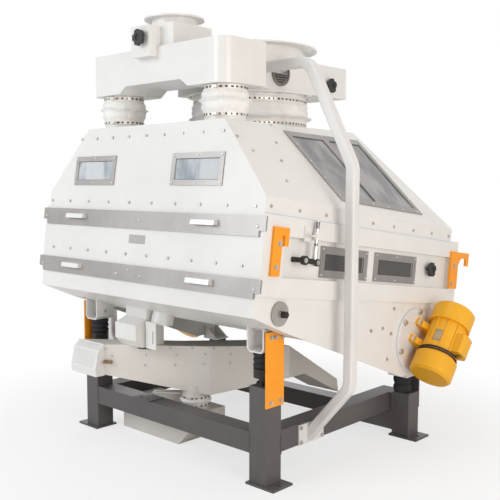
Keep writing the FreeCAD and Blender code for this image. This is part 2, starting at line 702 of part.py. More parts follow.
def front_panes():
    """Glass of the two front windows."""
    low, high = (value - BAND_TOP_V for value in FRONT_WINDOW_V)
    panes = []
    for x0, x1 in FRONT_WINDOWS:
        panes.append(on_front(box((x0 + FRONT_FRAME, x1 - FRONT_FRAME), (0.3, 0.3 + PANE_SHEET),
                                  (low + FRONT_FRAME + 2, high - FRONT_FRAME - 2))))
    return panes


def recess_windows():
    """Frames and glass of the windows in the side recesses."""
    frames, panes = [], []
    low, high = RECESS_WINDOW_V
    for start, end in RECESS_WINDOWS:
        along = (start + RECESS_FRAME, end - RECESS_FRAME)
        upward = (low + RECESS_FRAME, high - RECESS_FRAME)
        hole = box((RECESS_X - 30, RECESS_X + 30), along, upward)
        frame = tip(box((RECESS_X, RECESS_X + FRAME_SHEET), (start, end), (low, high)).cut(hole))
        pane = tip(box((RECESS_X - SHEET, RECESS_X - SHEET + PANE_SHEET), along, upward))
        frames += [frame, mirror(frame)]
        panes += [pane, mirror(pane)]
    return frames, panes


# Side fittings


def lifting_hooks():
    """Four flat hooks on the upper corners of the body."""
    low, high = RECESS_V[0] + 4, HOOK_HIGH_V
    slot_low, slot_high = HOOK_SLOT_V
    start, end = HOOK_FRONT_U
    stem = start + HOOK_STEM
    front = [(start, low), (stem, low), (stem, slot_high), (stem + HOOK_SLOT, slot_high),
             (stem + HOOK_SLOT, slot_low),
             (end, slot_low), (end, high), (start, high)]
    start, end = HOOK_REAR_U
    rear = [(start, low), (BODY_REAR, low), (BODY_REAR, slot_low + 7), (BODY_REAR + 28, slot_high),
            (end - 30, slot_high),
            (end - 30, slot_low + 3), (end, slot_low + 3), (end, high), (start, high)]
    hooks = []
    for outline in (front, rear):
        hook = tip(across(outline, BOX_X, BOX_X + HOOK_SHEET))
        hooks += [hook, mirror(hook)]
    keep("lifting_hooks", *hooks)


def adjusters():
    """Threaded rod with its clevis, its bracket, and the lever and shaft it works."""
    u, v = LEVER_AXIS
    eye_v = v - EYE_DROP
    shelf_v, nut_v = ROD_BRACKET_V
    shaft = rod(LEVER_SHAFT_R, (RECESS_X - 40, u, v), (ROD_X + 8, u, v))
    arm_x = (ROD_X + CLEVIS_R + 1, ROD_X + CLEVIS_R + 9)
    boss = rod(20, (arm_x[0] - 9, u, v), (arm_x[1], u, v))
    tail = rod(EYE_R - 1, (arm_x[0], ROD_U, eye_v), (arm_x[1], ROD_U, eye_v))
    arm = across([(u, v - 12), (ROD_U, eye_v - 11), (ROD_U, eye_v + 11), (u, v + 12)], *arm_x)
    pin = rod(PIN_R, (ROD_X - 10, ROD_U, eye_v), (arm_x[0] + 1, ROD_U, eye_v))
    lever = tip(fuse([shaft, boss, tail, arm, pin]))
    stem = rod(ROD_R, (ROD_X, ROD_U, eye_v + EYE_R), (ROD_X, ROD_U, ROD_TOP_V))
    clevis = rod(CLEVIS_R, (ROD_X, ROD_U, eye_v + EYE_R - 5), (ROD_X, ROD_U, eye_v + EYE_R + CLEVIS_LENGTH))
    eye = rod(EYE_R, (ROD_X - 8, ROD_U, eye_v), (ROD_X + 8, ROD_U, eye_v))
    bore = rod(PIN_R + 3, (ROD_X - 20, ROD_U, eye_v), (ROD_X + 20, ROD_U, eye_v))
    threaded = tip(fuse([stem, clevis, eye]).cut(bore))
    shelf = box((BOX_X, ROD_X + 20), (ROD_U - 62, ROD_U + 18), (shelf_v, shelf_v + SHEET))
    back = box((BOX_X, BOX_X + SHEET), (ROD_U - 62, ROD_U - 14), (shelf_v - 22, shelf_v + 44))
    nut = rod(15, (ROD_X, ROD_U, shelf_v - 10), (ROD_X, ROD_U, nut_v))
    passage = rod(ROD_R + RUNNING_GAP, (ROD_X, ROD_U, shelf_v - 30), (ROD_X, ROD_U, nut_v + 40))
    bracket = tip(fuse([shelf, back, nut]).cut(passage))
    keep("rod_brackets", bracket, mirror(bracket))
    keep("adjust_rod_right", threaded)
    keep("adjust_rod_left", mirror(threaded))
    keep("lever_right", lever)
    keep("lever_left", mirror(lever))


def knobs_and_discs():
    """Star knobs of the side shutters and the round clamp discs."""
    u, v = KNOB
    shaft = rod(KNOB_SHAFT_R, (RECESS_X - 40, u, v), (RECESS_X + 12, u, v))
    knob = tip(fuse([shaft, hand_wheel((RECESS_X + 8, u, v), (1, 0, 0))]))
    keep("side_knob_right", knob)
    keep("side_knob_left", mirror(knob))
    u, v = CLAMP_DISC
    disc = rod(CLAMP_DISC_R, (WALL_X, u, v), (WALL_X + 8, u, v))
    stud = rod(9, (WALL_X, u, v), (WALL_X + 36, u, v))
    nut = rod(15, (WALL_X, u, v), (WALL_X + 20, u, v))
    piece = tip(fuse([disc, stud, nut]))
    keep("clamp_discs", piece, mirror(piece))


# Vibrating motors


def place_motor(shape):
    """Lean a motor piece drawn about the Z axis and carry it to its disc."""
    placed = shape.copy()
    placed.rotate(V(0, 0, 0), V(1, 0, 0), -MOTOR_LEAN)
    placed.translate(V(*MOTOR_CENTRE))
    return placed


def motors():
    """Housings with feet and terminal box, end caps, eccentric rotors and cables."""
    face = MOTOR_CENTRE[0] - WALL_X - DISC_SHEET
    housing = ring(MOTOR_R, MOTOR_R - 22, (0, 0), -HOUSING_HALF, HOUSING_HALF)
    parts = [housing]
    for end in (-HOUSING_HALF, HOUSING_HALF - 16):
        parts.append(ring(MOTOR_R, SHAFT_R + BEARING_GAP, (0, 0), end, end + 16))
    low, high = FOOT_LUG_Z
    foot = [(-face, -FOOT_LUG_HALF), (-face, FOOT_LUG_HALF), (16 - face, FOOT_LUG_HALF), (-72, 56),
            (-72, -56),
            (16 - face, -FOOT_LUG_HALF)]
    for base in (low, -high):
        lug = prism([(x, y, base) for x, y in foot], (0, 0, high - low))
        lug = lug.cut(rod(MOTOR_R - 10, (0, 0, -200), (0, 0, 200)))
        for y in (-FOOT_BOLT_Y, FOOT_BOLT_Y):
            middle = base + (high - low) / 2
            lug = lug.cut(rod(9, (-face - 1, y, middle), (20 - face, y, middle)))
        parts.append(lug)
    low, high = JUNCTION_Z
    wall, face = JUNCTION_REACH
    wide, narrow = JUNCTION_HALF
    outline = [(MOTOR_R - 30, -wide), (wall, -wide), (face, -narrow), (face, narrow), (wall, wide),
               (MOTOR_R - 30, wide)]
    junction = prism([(x, y, low) for x, y in outline], (0, 0, high - low))
    gland = rod(12, (GLAND_X, 0, low), (GLAND_X, 0, GLAND_END))
    for turn in RIB_TURNS:
        rib = box((MOTOR_R - 4, MOTOR_R + RIB_HEIGHT), (-4, 4), (low - 6, HOUSING_HALF))
        rib.rotate(V(0, 0, 0), V(0, 0, 1), turn)
        parts.append(rib)
    pocket = rod(MOTOR_R - 14, (0, 0, low - 1), (0, 0, high + 1))
    parts += [junction.cut(pocket), gland]
    body = place_motor(fuse(parts))
    keep("motor_housing_right", body)
    keep("motor_housing_left", mirror(body))
    caps = []
    for side in (1, -1):
        outline = [(0, 0), (CAP_R - 12, 0), (CAP_R, 12), (CAP_R, MOTOR_HALF - HOUSING_HALF),
                   (CAP_R - MOTOR_SHELL, MOTOR_HALF - HOUSING_HALF),
                   (CAP_R - MOTOR_SHELL, 14 + MOTOR_SHELL / 2),
                   (CAP_R - 12 - MOTOR_SHELL / 2, MOTOR_SHELL), (0, MOTOR_SHELL)]
        points = [V(r, 0, side * (MOTOR_HALF - z)) for r, z in outline]
        cap = Part.Face(Part.makePolygon(points + points[:1])).revolve(V(0, 0, 0), V(0, 0, 1), 360)
        web = ring(CAP_R - 1, SHAFT_R + 8, (0, 0), *sorted((side * HOUSING_HALF, side * (HOUSING_HALF + 5))))
        caps.append(place_motor(fuse([cap, web])))
    keep("motor_caps", *caps, *[mirror(cap) for cap in caps])
    shaft = [rod(SHAFT_R, (0, 0, 16 - MOTOR_HALF), (0, 0, MOTOR_HALF - 16)), rod(58, (0, 0, -60), (0, 0, 60))]
    for base in (HOUSING_HALF + 22, -HOUSING_HALF - 62):
        weight = rod(WEIGHT_R, (0, 0, base), (0, 0, base + 40))
        weight = weight.cut(box((-100, 100), (14, 120), (base - 1, base + 41)))
        shaft.append(weight)
        shaft.append(rod(SHAFT_R + 12, (0, 0, base), (0, 0, base + 40)))
    rotor = place_motor(fuse(shaft))
    keep("motor_rotor_right", rotor)
    keep("motor_rotor_left", mirror(rotor))
    cable = place_motor(motor_cable())
    keep("motor_cables", cable, mirror(cable))


def motor_cable():
    """Cable wound round the housing and led up into the gland."""
    radius = MOTOR_R + CABLE_R + 0.6
    pitch = 2 * CABLE_R + 0.6
    start = -HOUSING_HALF + CABLE_R + 1
    points = []
    for step in range(12 * CABLE_TURNS + 1):
        turn = 2 * math.pi * step / 12
        points.append(V(radius * math.cos(turn), radius * math.sin(turn), start + pitch * step / 12))
    path = Part.BSplineCurve()
    path.interpolate(points)
    wire = Part.Wire(path.toShape())
    end = points[-1]
    start_point = path.value(path.FirstParameter)
    direction = path.tangent(path.FirstParameter)[0]
    circle = Part.Wire(Part.makeCircle(CABLE_R, start_point, direction))
    coil = wire.makePipeShell([circle], True, True)
    rise = V(GLAND_X, 0, end.z)
    lead = rod(CABLE_R, tuple(end), tuple(rise))
    entry = rod(CABLE_R, tuple(rise), (rise.x, 0, GLAND_END - 0.2))
    return fuse([coil, Part.makeSphere(CABLE_R, end), lead, Part.makeSphere(CABLE_R, rise), entry])


def cross_tube():
    """Tube between the side walls and the round plates that carry the motors."""
    y, z = DISC_CENTRE
    inner = WALL_X - SHEET
    bore = rod(CROSS_TUBE_R - 8, (20 - inner, y, z), (inner - 20, y, z))
    tube = rod(CROSS_TUBE_R, (-inner, y, z), (inner, y, z)).cut(bore)
    disc = rod(DISC_R, (WALL_X, y, z), (WALL_X + DISC_SHEET, y, z))
    rim = [edge for edge in disc.Edges if edge.BoundBox.XMin > WALL_X + 1 and edge.Closed]
    disc = disc.makeChamfer(4, rim)
    keep("cross_tube", tube)
    keep("motor_discs", disc, mirror(disc))


# Fixed ducts


def flexible_sleeve(centre, radius, low, high, folds):
    """Cloth sleeve with soft folds, turned about its axis."""
    outer = radius + SLEEVE_SHEET
    rise = high - low
    outside = [(outer, low), (outer, low + rise * 0.14)]
    for fold in range(folds):
        base = low + rise * (0.14 + 0.72 * fold / folds)
        step = rise * 0.72 / folds
        outside += [(outer + SLEEVE_BULGE, base + step * 0.5), (outer + 2, base + step)]
    outside += [(outer, high - rise * 0.13), (outer, high)]
    inside = [(r - SLEEVE_SHEET, z) for r, z in reversed(outside)]
    points = [V(r, 0, z) for r, z in outside + inside]
    sleeve = Part.Face(Part.makePolygon(points + points[:1])).revolve(V(0, 0, 0), V(0, 0, 1), 360)
    sleeve.translate(V(*centre, 0))
    return sleeve


def sleeves():
    """Cloth sleeves between the fixed ducts and the vibrating body."""
    left = (-FEED_SLEEVE[0], FEED_SLEEVE[1])
    sleeves = [flexible_sleeve(centre, FEED_SLEEVE_R, *SLEEVE_Z, 2) for centre in (FEED_SLEEVE, left)]
    keep("feed_sleeves", *sleeves)
    keep("main_sleeve", flexible_sleeve(MAIN_SLEEVE, MAIN_SLEEVE_R, *SLEEVE_Z, 2))
    keep("outlet_sleeve", flexible_sleeve(OUTLET, OUTLET_R, *OUTLET_Z, 1))
    low, high = SLEEVE_Z
    bottom, top = OUTLET_Z
    upper, lower = [], []
    for centre, radius in ((FEED_SLEEVE, FEED_SLEEVE_R), (left, FEED_SLEEVE_R), (MAIN_SLEEVE, MAIN_SLEEVE_R)):
        upper.append(clamp_band(centre, radius, high - 6 - BAND_WIDTH, 0))
        lower.append(clamp_band(centre, radius, low + 3, SPRING_GAP))
    upper.append(clamp_band(OUTLET, OUTLET_R, bottom + 1, 0))
    lower.append(clamp_band(OUTLET, OUTLET_R, top - 1 - BAND_WIDTH / 2, SPRING_GAP))
    keep("fixed_sleeve_bands", *upper)
    keep("moving_sleeve_bands", *lower)


def clamp_band(centre, radius, low, gap):
    """Thin band with its screw block round the end of a cloth sleeve."""
    inner = radius + SLEEVE_SHEET + gap
    width = BAND_WIDTH if radius > OUTLET_R else BAND_WIDTH / 2
    band = ring(inner + 1.5, inner, centre, low, low + width)
    block = box((centre[0] + 20, centre[0] + 50), (centre[1] - inner - 9, centre[1] - inner + 3),
                (low + 1, low + width - 1))
    return fuse([band, block.cut(rod(inner + 1, (*centre, low - 1), (*centre, low + width + 1)))])


def header_outline(inset):
    """Plan of the header with rounded front corners."""
    half = HEADER_HALF - inset
    front, rear = HEADER_Y[0] + inset, HEADER_Y[1] - inset
    corner = HEADER_CORNER - inset
    cos45 = math.cos(math.pi / 4)
    left_mid = V(-half + corner * (1 - cos45), front + corner * (1 - cos45), 0)
    right_mid = V(half - corner * (1 - cos45), front + corner * (1 - cos45), 0)
    edges = [Part.makeLine(V(-half, rear, 0), V(-half, front + corner, 0)),
             Part.Arc(V(-half, front + corner, 0), left_mid, V(corner - half, front, 0)).toShape(),
             Part.makeLine(V(corner - half, front, 0), V(half - corner, front, 0)),
             Part.Arc(V(half - corner, front, 0), right_mid, V(half, front + corner, 0)).toShape(),
             Part.makeLine(V(half, front + corner, 0), V(half, rear, 0)),
             Part.makeLine(V(half, rear, 0), V(-half, rear, 0))]
    return Part.Face(Part.Wire(edges))


def header_solid(inset):
    """Header block with the raised middle of its underside."""
    low, high = HEADER_Z[0] + inset, HEADER_Z[1] - inset
    block = header_outline(inset).extrude(V(0, 0, high - low))
    block.translate(V(0, 0, low))
    top_half, low_half = HEADER_RISE_HALF
    raised = low + HEADER_RISE
    tool = frontal([(-low_half - inset, low - 1), (low_half + inset, low - 1), (top_half + inset, raised),
                    (-top_half - inset, raised)], HEADER_Y[0] - 5, HEADER_Y[1] + 5)
    return block.cut(tool)


def header():
    """Feed header: split duct with two outlets, inlet neck, valve box and flap."""
    shell = header_solid(0).cut(header_solid(DUCT_SHEET))
    top = HEADER_Z[1]
    rear = HEADER_Y[1]
    neck = box((-NECK_HALF, NECK_HALF), (NECK_FRONT, rear), (top - DUCT_SHEET, NECK_TOP))
    bore = box((DUCT_SHEET - NECK_HALF, NECK_HALF - DUCT_SHEET), (NECK_FRONT + DUCT_SHEET, rear - DUCT_SHEET),
               (top - 2 * DUCT_SHEET, NECK_TOP - DUCT_SHEET))
    middle = (0, (NECK_FRONT + rear) / 2)
    inlet = ring(INLET_R + DUCT_SHEET, INLET_R, middle, NECK_TOP - DUCT_SHEET, INLET_TOP)
    flange = ring(INLET_FLANGE_R, INLET_R, middle, INLET_TOP - FLANGE_SHEET, INLET_TOP)
    opening = rod(INLET_R, (*middle, NECK_TOP - 20), (*middle, NECK_TOP + 20))
    holes = bolt_holes(middle, INLET_R + 27, 8, 6, INLET_TOP - FLANGE_SHEET, INLET_TOP)
    duct = cut(fuse([shell, neck]), [bore, opening])
    outlets = []
    for x in (-FEED_SLEEVE[0], FEED_SLEEVE[0]):
        outer = FEED_SLEEVE_R - RUNNING_GAP
        centre = (x, FEED_SLEEVE[1])
        duct = duct.cut(rod(outer - COLLAR_SHEET, (*centre, HEADER_Z[0] - 10), (*centre, HEADER_Z[0] + 30)))
        foot = SLEEVE_Z[1] - COLLAR_REACH
        outlets.append(ring(outer, outer - COLLAR_SHEET, centre, foot, HEADER_Z[0] + DUCT_SHEET))
    valve_box = box(VALVE_BOX_X, (VALVE_BOX_Y, NECK_FRONT), VALVE_BOX_Z)
    valve_box = valve_box.cut(box((VALVE_BOX_X[0] + 3, VALVE_BOX_X[1] - 3), (VALVE_BOX_Y + 3, NECK_FRONT + 1),
                                  (VALVE_BOX_Z[0] + 3, VALVE_BOX_Z[1] - 3)))
    valve_box = valve_box.cut(header_solid(0))
    wheel_x, wheel_z = VALVE_WHEEL
    shaft_hole = rod(8 + RUNNING_GAP, (wheel_x, VALVE_BOX_Y - 5, wheel_z),
                     (wheel_x, VALVE_BOX_Y + 10, wheel_z))
    flap_holes = [rod(8 + RUNNING_GAP, (0, HEADER_Y[0] - 5, FLAP_Z), (0, HEADER_Y[0] + 10, FLAP_Z)),
                  rod(8 + RUNNING_GAP, (0, rear - 10, FLAP_Z), (0, rear + 5, FLAP_Z))]
    whole = fuse([duct, inlet, flange, valve_box] + outlets)
    keep("feed_header", cut(whole, holes + [shaft_hole] + flap_holes))
    wheel = hand_wheel((wheel_x, VALVE_BOX_Y - 4, wheel_z), (0, -1, 0))
    stem = rod(8, (wheel_x, VALVE_BOX_Y + 40, wheel_z), (wheel_x, VALVE_BOX_Y - 5, wheel_z))
    keep("feed_handwheel", fuse([wheel, stem]))
    blade = box((15 - NECK_HALF, NECK_HALF - 15), (NECK_FRONT + 8, rear - 8), (FLAP_Z - 2, FLAP_Z + 2))
    pivot = rod(8, (0, HEADER_Y[0] - 14, FLAP_Z), (0, rear + 6, FLAP_Z))
    keep("feed_flap", fuse([blade, pivot]))


def bolt_holes(centre, radius, count, hole_r, low, high):
    """Ring of upright holes through a flange."""
    holes = []
    for step in range(count):
        turn = 2 * math.pi * (step + 0.5) / count
        spot = (centre[0] + radius * math.cos(turn), centre[1] + radius * math.sin(turn))
        holes.append(rod(hole_r, (*spot, low - 1), (*spot, high + 1)))
    return holes


def stack():
    """Air stack: box with a round neck, lower flange, grille opening and slide gate."""
    t = DUCT_SHEET
    low, high = STACK_Z
    front, rear = STACK_Y
    inner = box((t - STACK_HALF, STACK_HALF - t), (front + t, rear - t), (low + t, high - t))
    casing = box((-STACK_HALF, STACK_HALF), STACK_Y, STACK_Z).cut(inner)
    neck_bore = rod(STACK_NECK_R - t, (*MAIN_SLEEVE, high - 10), (*MAIN_SLEEVE, STACK_TOP + 1))
    outer = MAIN_SLEEVE_R - RUNNING_GAP
    throat = rod(outer - COLLAR_SHEET, (*MAIN_SLEEVE, low - 40), (*MAIN_SLEEVE, low + 10))
    within = box((t - STACK_HALF, STACK_HALF - t), (front + t, rear - t), (low - 60, low + 20))
    neck = ring(STACK_NECK_R, STACK_NECK_R - t, MAIN_SLEEVE, high, STACK_TOP)
    flange = ring(STACK_FLANGE_R, STACK_NECK_R, MAIN_SLEEVE, STACK_TOP - FLANGE_SHEET, STACK_TOP)
    plate = rod(LOWER_FLANGE_R, (*MAIN_SLEEVE, low - FLANGE_SHEET), (*MAIN_SLEEVE, low))
    collar = ring(outer, outer - COLLAR_SHEET, MAIN_SLEEVE, SLEEVE_Z[1] - COLLAR_REACH, low - FLANGE_SHEET)
    gy, gz = GRILLE_CENTRE
    grille_hole = rod(GRILLE_R - 6, (STACK_HALF - 10, gy, gz), (STACK_HALF + 20, gy, gz))
    panel = box((STACK_HALF, STACK_HALF + t), (front, front + 326), (low, low + 122))
    wy, wz = DAMPER_WHEEL
    shaft_holes = [rod(10 + RUNNING_GAP, (side * (STACK_HALF - 10), wy, wz),
                       (side * (STACK_HALF + 10), wy, wz))
                   for side in (1, -1)]
    holes = bolt_holes(MAIN_SLEEVE, STACK_FLANGE_R - 26, 12, 7, STACK_TOP - FLANGE_SHEET, STACK_TOP)
    body = fuse([casing, panel]).cut(throat.common(within)).cut(neck_bore)
    rails = [box((side * (STACK_HALF - t), side * (STACK_HALF - t - 14)), (front + t, rear - t),
                 (wz + 26, wz + 30))
             for side in (1, -1)]
    body = fuse([cut(body, shaft_holes + [grille_hole])] + rails)
    keep("air_stack", body, neck, cut(flange, holes), cut(plate, [throat]), collar)
    rim = rod(GRILLE_R, (STACK_HALF + t, gy, gz), (STACK_HALF + t + 10, gy, gz))
    rim = rim.cut(rod(GRILLE_R - 8, (STACK_HALF + t - 1, gy, gz), (STACK_HALF + t + 11, gy, gz)))
    slats = []
    for step in range(-4, 5):
        z = gz + step * 12
        half = math.sqrt((GRILLE_R - 5) ** 2 - (step * 12) ** 2)
        section = [(STACK_HALF + t, gy - half, z - 3), (STACK_HALF + t + 8, gy - half, z - 6),
                   (STACK_HALF + t + 8, gy - half, z - 4), (STACK_HALF + t, gy - half, z - 1)]
        slats.append(prism(section, (0, 2 * half, 0)))
    keep("false_air_grille", fuse([rim] + slats))
    gate_z = (wz + 30.5, wz + 34.5)
    gate = box((t + 4 - STACK_HALF, STACK_HALF - t - 4), (wy - 50, rear - t - 6), gate_z)
    gate = gate.cut(rod(STACK_NECK_R - t, (*MAIN_SLEEVE, wz), (*MAIN_SLEEVE, wz + 60)))
    keep("damper_gate", gate)
    shaft = rod(10, (-STACK_HALF - 6, wy, wz), (STACK_HALF + 6, wy, wz))
    pinions = [rod(30, (x, wy, wz), (x + 16, wy, wz)) for x in (-240, 224)]
    wheel = hand_wheel((STACK_HALF + 4, wy, wz), (1, 0, 0))
    keep("damper_shaft", fuse([shaft, wheel] + pinions))


def swept(path, half, corner):
    """Rounded square bar bent along a path in the plane Y = 0."""
    points = [V(x, 0, z) for x, z in path]
    edges, start = [], points[0]
    for before, bend, after in zip(points, points[1:], points[2:]):
        toward, away = (before - bend), (after - bend)
        toward.normalize()
        away.normalize()
        angle = toward.getAngle(away) / 2
        run = POST_BEND / math.tan(angle)
        inner = (toward + away)
        inner.normalize()
        centre = bend + inner * (POST_BEND / math.sin(angle))
        first, last = bend + toward * run, bend + away * run
        edges.append(Part.makeLine(start, first))
        edges.append(Part.Arc(first, centre - inner * POST_BEND, last).toShape())
        start = last
    edges.append(Part.makeLine(start, points[-1]))
    section = Part.makeBox(2 * half, 2 * half, 10, V(-half, -half, 0))
    upright = [edge for edge in section.Edges if edge.BoundBox.ZLength > 5]
    rounded = section.makeFillet(corner, upright)
    profile = min(rounded.Faces, key=lambda face: face.CenterOfMass.z).OuterWire
    direction = points[1] - points[0]
    start = FreeCAD.Placement(points[0], FreeCAD.Rotation(V(0, 0, 1), direction))
    profile.Placement = start.multiply(profile.Placement)
    return Part.Wire(edges).makePipeShell([profile], True, False)


def posts():
    """Bent posts with their foot plates, and the beam between them."""
    bar = swept(POST_PATH, POST / 2, POST_CORNER)
    bore = swept(POST_PATH, POST / 2 - POST_WALL, POST_CORNER - POST_WALL)
    tube = bar.cut(bore)
    tube.translate(V(0, POST_Y, 0))
    tube = tube.cut(box((0, SIDE_BEAM_OUTER + 4), (-400, 0), (0, 600)))
    foot = box((SIDE_BEAM_OUTER, SIDE_BEAM_OUTER + 8), POST_FOOT_Y, POST_FOOT_Z)
    post = fuse([tube, foot])
    keep("support_posts", post, mirror(post))
    half = POST / 2
    inner = POST_PATH[-1][0]
    z = POST_PATH[-1][1]
    bar = box((-inner, inner), (POST_Y - half, POST_Y + half), (z - half, z + half))
    wall = POST_WALL
    hollow = box((-inner - 1, inner + 1), (POST_Y - half + wall, POST_Y + half - wall),
                 (z - half + wall, z + half - wall))
    bar = bar.cut(hollow)
    lugs = [bar]
    for x in (-200, 200):
        lugs.append(box((x - 30, x + 30), (HEADER_Y[1], POST_Y - half), (z - 20, z + 20)))
        lugs.append(box((x - 30, x + 30), (POST_Y + half, STACK_Y[0]), (z - 20, z + 20)))
    keep("support_beam", fuse(lugs))


# Trough and outlets


def trough_form(inset, run_out):
    """Trough form in plan: two diagonal runs that meet over the outlet, then a spout to the rear."""
    width = TROUGH_WIDTH - 2 * inset * SKEW
    runs = []
    points = list(TROUGH_PATH)
    x, y, low = points[0]
    ahead = (x - run_out, y - run_out * (points[1][1] - y) / (points[1][0] - x), low)
    points[0] = ahead
    for (x0, y0, low0), (x1, y1, low1) in zip(points, points[1:]):
        shift = inset * SKEW
        loop = [V(x0 - shift, y0, TROUGH_TOP - inset), V(x0 - shift, y0, low0 + inset),
                V(x1 - shift, y1, low1 + inset),
                V(x1 - shift, y1, TROUGH_TOP - inset)]
        runs.append(Part.Face(Part.makePolygon(loop + loop[:1])).extrude(V(-width, 0, 0)))
    x, y, low = TROUGH_PATH[-1]
    end_y, end_low, end_top = SPOUT_END
    slope = inset * 1.2
    outline = [(y, TROUGH_TOP - inset), (y, low + inset), (y + 126, low + inset),
               (end_y + run_out, end_low + slope),
               (end_y - 13 + run_out, end_top - slope)]
    runs.append(across(outline, x - TROUGH_WIDTH + inset, x - inset))
    return fuse(runs)


def trough():
    """Collecting trough with its lid, end cover, latch, outlet collar and rear spout."""
    cavity = trough_form(TROUGH_SHEET, 30)
    shell = trough_form(0, 0).cut(cavity)
    reach = OUTLET_R - RUNNING_GAP
    collar = ring(reach, reach - COLLAR_SHEET, OUTLET, OUTLET_Z[1] - 22, OUTLET_Z[1] + 60)
    collar = collar.cut(trough_form(0, 0))
    hole = rod(reach - COLLAR_SHEET, (*OUTLET, OUTLET_Z[1] - 30), (*OUTLET, OUTLET_Z[1] + 60))
    start, after = TROUGH_PATH[:2]
    ear = box((-EAR_REACH, -reach + 2), (-EAR_HALF, EAR_HALF), EAR_Z)
    ear = ear.cut(box((20 - EAR_REACH, 70 - EAR_REACH), (-5, 5), (EAR_Z[0] - 1, EAR_Z[1] + 1)))
    ear.rotate(V(0, 0, 0), V(0, 0, 1), math.degrees(math.atan2(after[1] - start[1], after[0] - start[0])))
    ear.translate(V(*OUTLET, 0))
    x0, x1 = DROP_BOX_X
    mouth = box((x0 + 8, x1 - 8), (DROP_BOX_Y[0] + DROP_BOX_STEP, DROP_BOX_Y[1] - 8),
                (TROUGH_TOP - 20, TROUGH_TOP + 20))
    keep("collecting_trough", fuse([cut(shell, [hole, mouth]), collar, ear]))
    drop_box()
    end_cover()
    chute()


def drop_box():
    """Six-sided duct from the body's pan to the trough, the round spout and the slotted bracket."""
    front, rear = DROP_BOX_Y
    neck = front + DROP_BOX_STEP
    shoulder, belly, chin = DROP_BOX_Z
    sheet = DUCT_SHEET
    outline = [(neck, DROP_BOX_TOP), (neck, shoulder), (front, belly), (front, chin),
               (front + 40, TROUGH_TOP), (rear, TROUGH_TOP),
               (rear, DROP_BOX_TOP)]
    x0, x1 = DROP_BOX_X
    inner = [(neck + sheet, DROP_BOX_TOP + 10), (neck + sheet, shoulder - 3), (front + sheet, belly - 3),
             (front + sheet, chin + 2), (front + 43, TROUGH_TOP - 1), (rear - sheet, TROUGH_TOP - 1),
             (rear - sheet, DROP_BOX_TOP + 10)]
    above = across([(y, z) for y, z in bottom_line(300)], x0 - 20, 400)
    duct = across(outline, x0, x1).cut(across(inner, x0 + sheet, x1 - sheet))
    keep("drop_box", duct.cut(above))
    x, y = SPOUT_AXIS
    bore = rod(SPOUT_R - 4, (x, y + 22.8, 730), (x, y - 16.8, 590))
    tube = rod(SPOUT_R, (x, y + 20, 720), (x, y - 14, 600)).cut(bore)
    mouth = across([(y - 120, 640), (y + 120, 600), (y + 120, 560), (y - 120, 560)], x - 90, x + 90)
    spout = tube.cut(mouth).cut(above)
    plate_x = (x - 44, x + 34)
    plate = box(plate_x, (y - SPOUT_R - 20, y - SPOUT_R - 15), (TROUGH_TOP, 642))
    slot = fuse([box((x + 8, x + 16), (y - 120, y + 120), (535, 595)),
                 rod(4, (x + 12, y - 120, 595), (x + 12, y + 120, 595)),
                 rod(4, (x + 12, y - 120, 535), (x + 12, y + 120, 535))])
    ear = box((x - 30, x + 20), (y - SPOUT_R - 15, y - SPOUT_R + 14), (634, 640))
    tube_space = rod(SPOUT_R - 2, (x, y + 20, 720), (x, y - 14, 600))
    keep("round_spout", spout, fuse([plate.cut(slot), ear.cut(tube_space)]))


def end_cover():
    """Hinged box cover on the trough's front end, with the latch that holds it."""
    x, y, low = TROUGH_PATH[0]
    face = y - HINGE_GAP
    hinge = TROUGH_TOP - 1
    outline = [(face, hinge)] + [(face - reach, hinge - drop) for reach, drop in COVER_FACES]
    outline.append((face, hinge - COVER_FACES[-1][1]))
    inner = [(face + 1, hinge - 6)]
    inner += [(face - reach + COVER_SHEET, hinge - drop - 1) for reach, drop in COVER_FACES[:-1]]
    reach, drop = COVER_FACES[-1]
    inner += [(face - reach + COVER_SHEET, hinge - drop + COVER_SHEET),
              (face + 1, hinge - drop + COVER_SHEET)]
    hollow = across(inner, x - TROUGH_WIDTH + COVER_SHEET, x - COVER_SHEET)
    cover = across(outline, x - TROUGH_WIDTH, x).cut(hollow)
    barrel = rod(5, (x - TROUGH_WIDTH, face - 5, hinge), (x, face - 5, hinge))
    keep("trough_end_cover", fuse([cover, barrel]))
    height = low + LATCH_RISE
    pivot = rod(5, (LATCH_RUN, -0.3, height), (LATCH_RUN, -22, height))
    arm = box((-1, LATCH_RUN + 10), (-12, -7), (height - 9, height + 9))
    grip = rod(6, (8, -12, height), (8, -34, height))
    latch = fuse([pivot, arm, grip])
    after = TROUGH_PATH[1]
    latch.rotate(V(0, 0, 0), V(0, 0, 1), math.degrees(math.atan2(after[1] - y, after[0] - x)))
    latch.translate(V(x, y, 0))
    keep("cover_latch", latch)


def chute():
    """Fixed box chute on the floor with its collar under the outlet sleeve."""
    x0, x1 = CHUTE_X
    front, rear = CHUTE_Y
    top = CHUTE_TOP
    slant = CHUTE_SLANT
    outline = [(x0, 0), (x1 - slant, 0), (x1, slant), (x1, top), (x0, top)]
    inner = [(x0 - 5, CHUTE_SHEET), (x1 - slant - 2, CHUTE_SHEET), (x1 - CHUTE_SHEET, slant + 2),
             (x1 - CHUTE_SHEET, top - CHUTE_SHEET),
             (x0 - 5, top - CHUTE_SHEET)]
    shell = frontal(outline, front, rear).cut(frontal(inner, front + CHUTE_SHEET, rear - CHUTE_SHEET))
    reach = OUTLET_R - RUNNING_GAP
    collar = ring(reach, reach - COLLAR_SHEET, OUTLET, top - CHUTE_SHEET, OUTLET_Z[0] + 24)
    bore = rod(reach - COLLAR_SHEET, (*OUTLET, top - 30), (*OUTLET, top + 30))
    keep("floor_chute", fuse([shell.cut(bore), collar]))


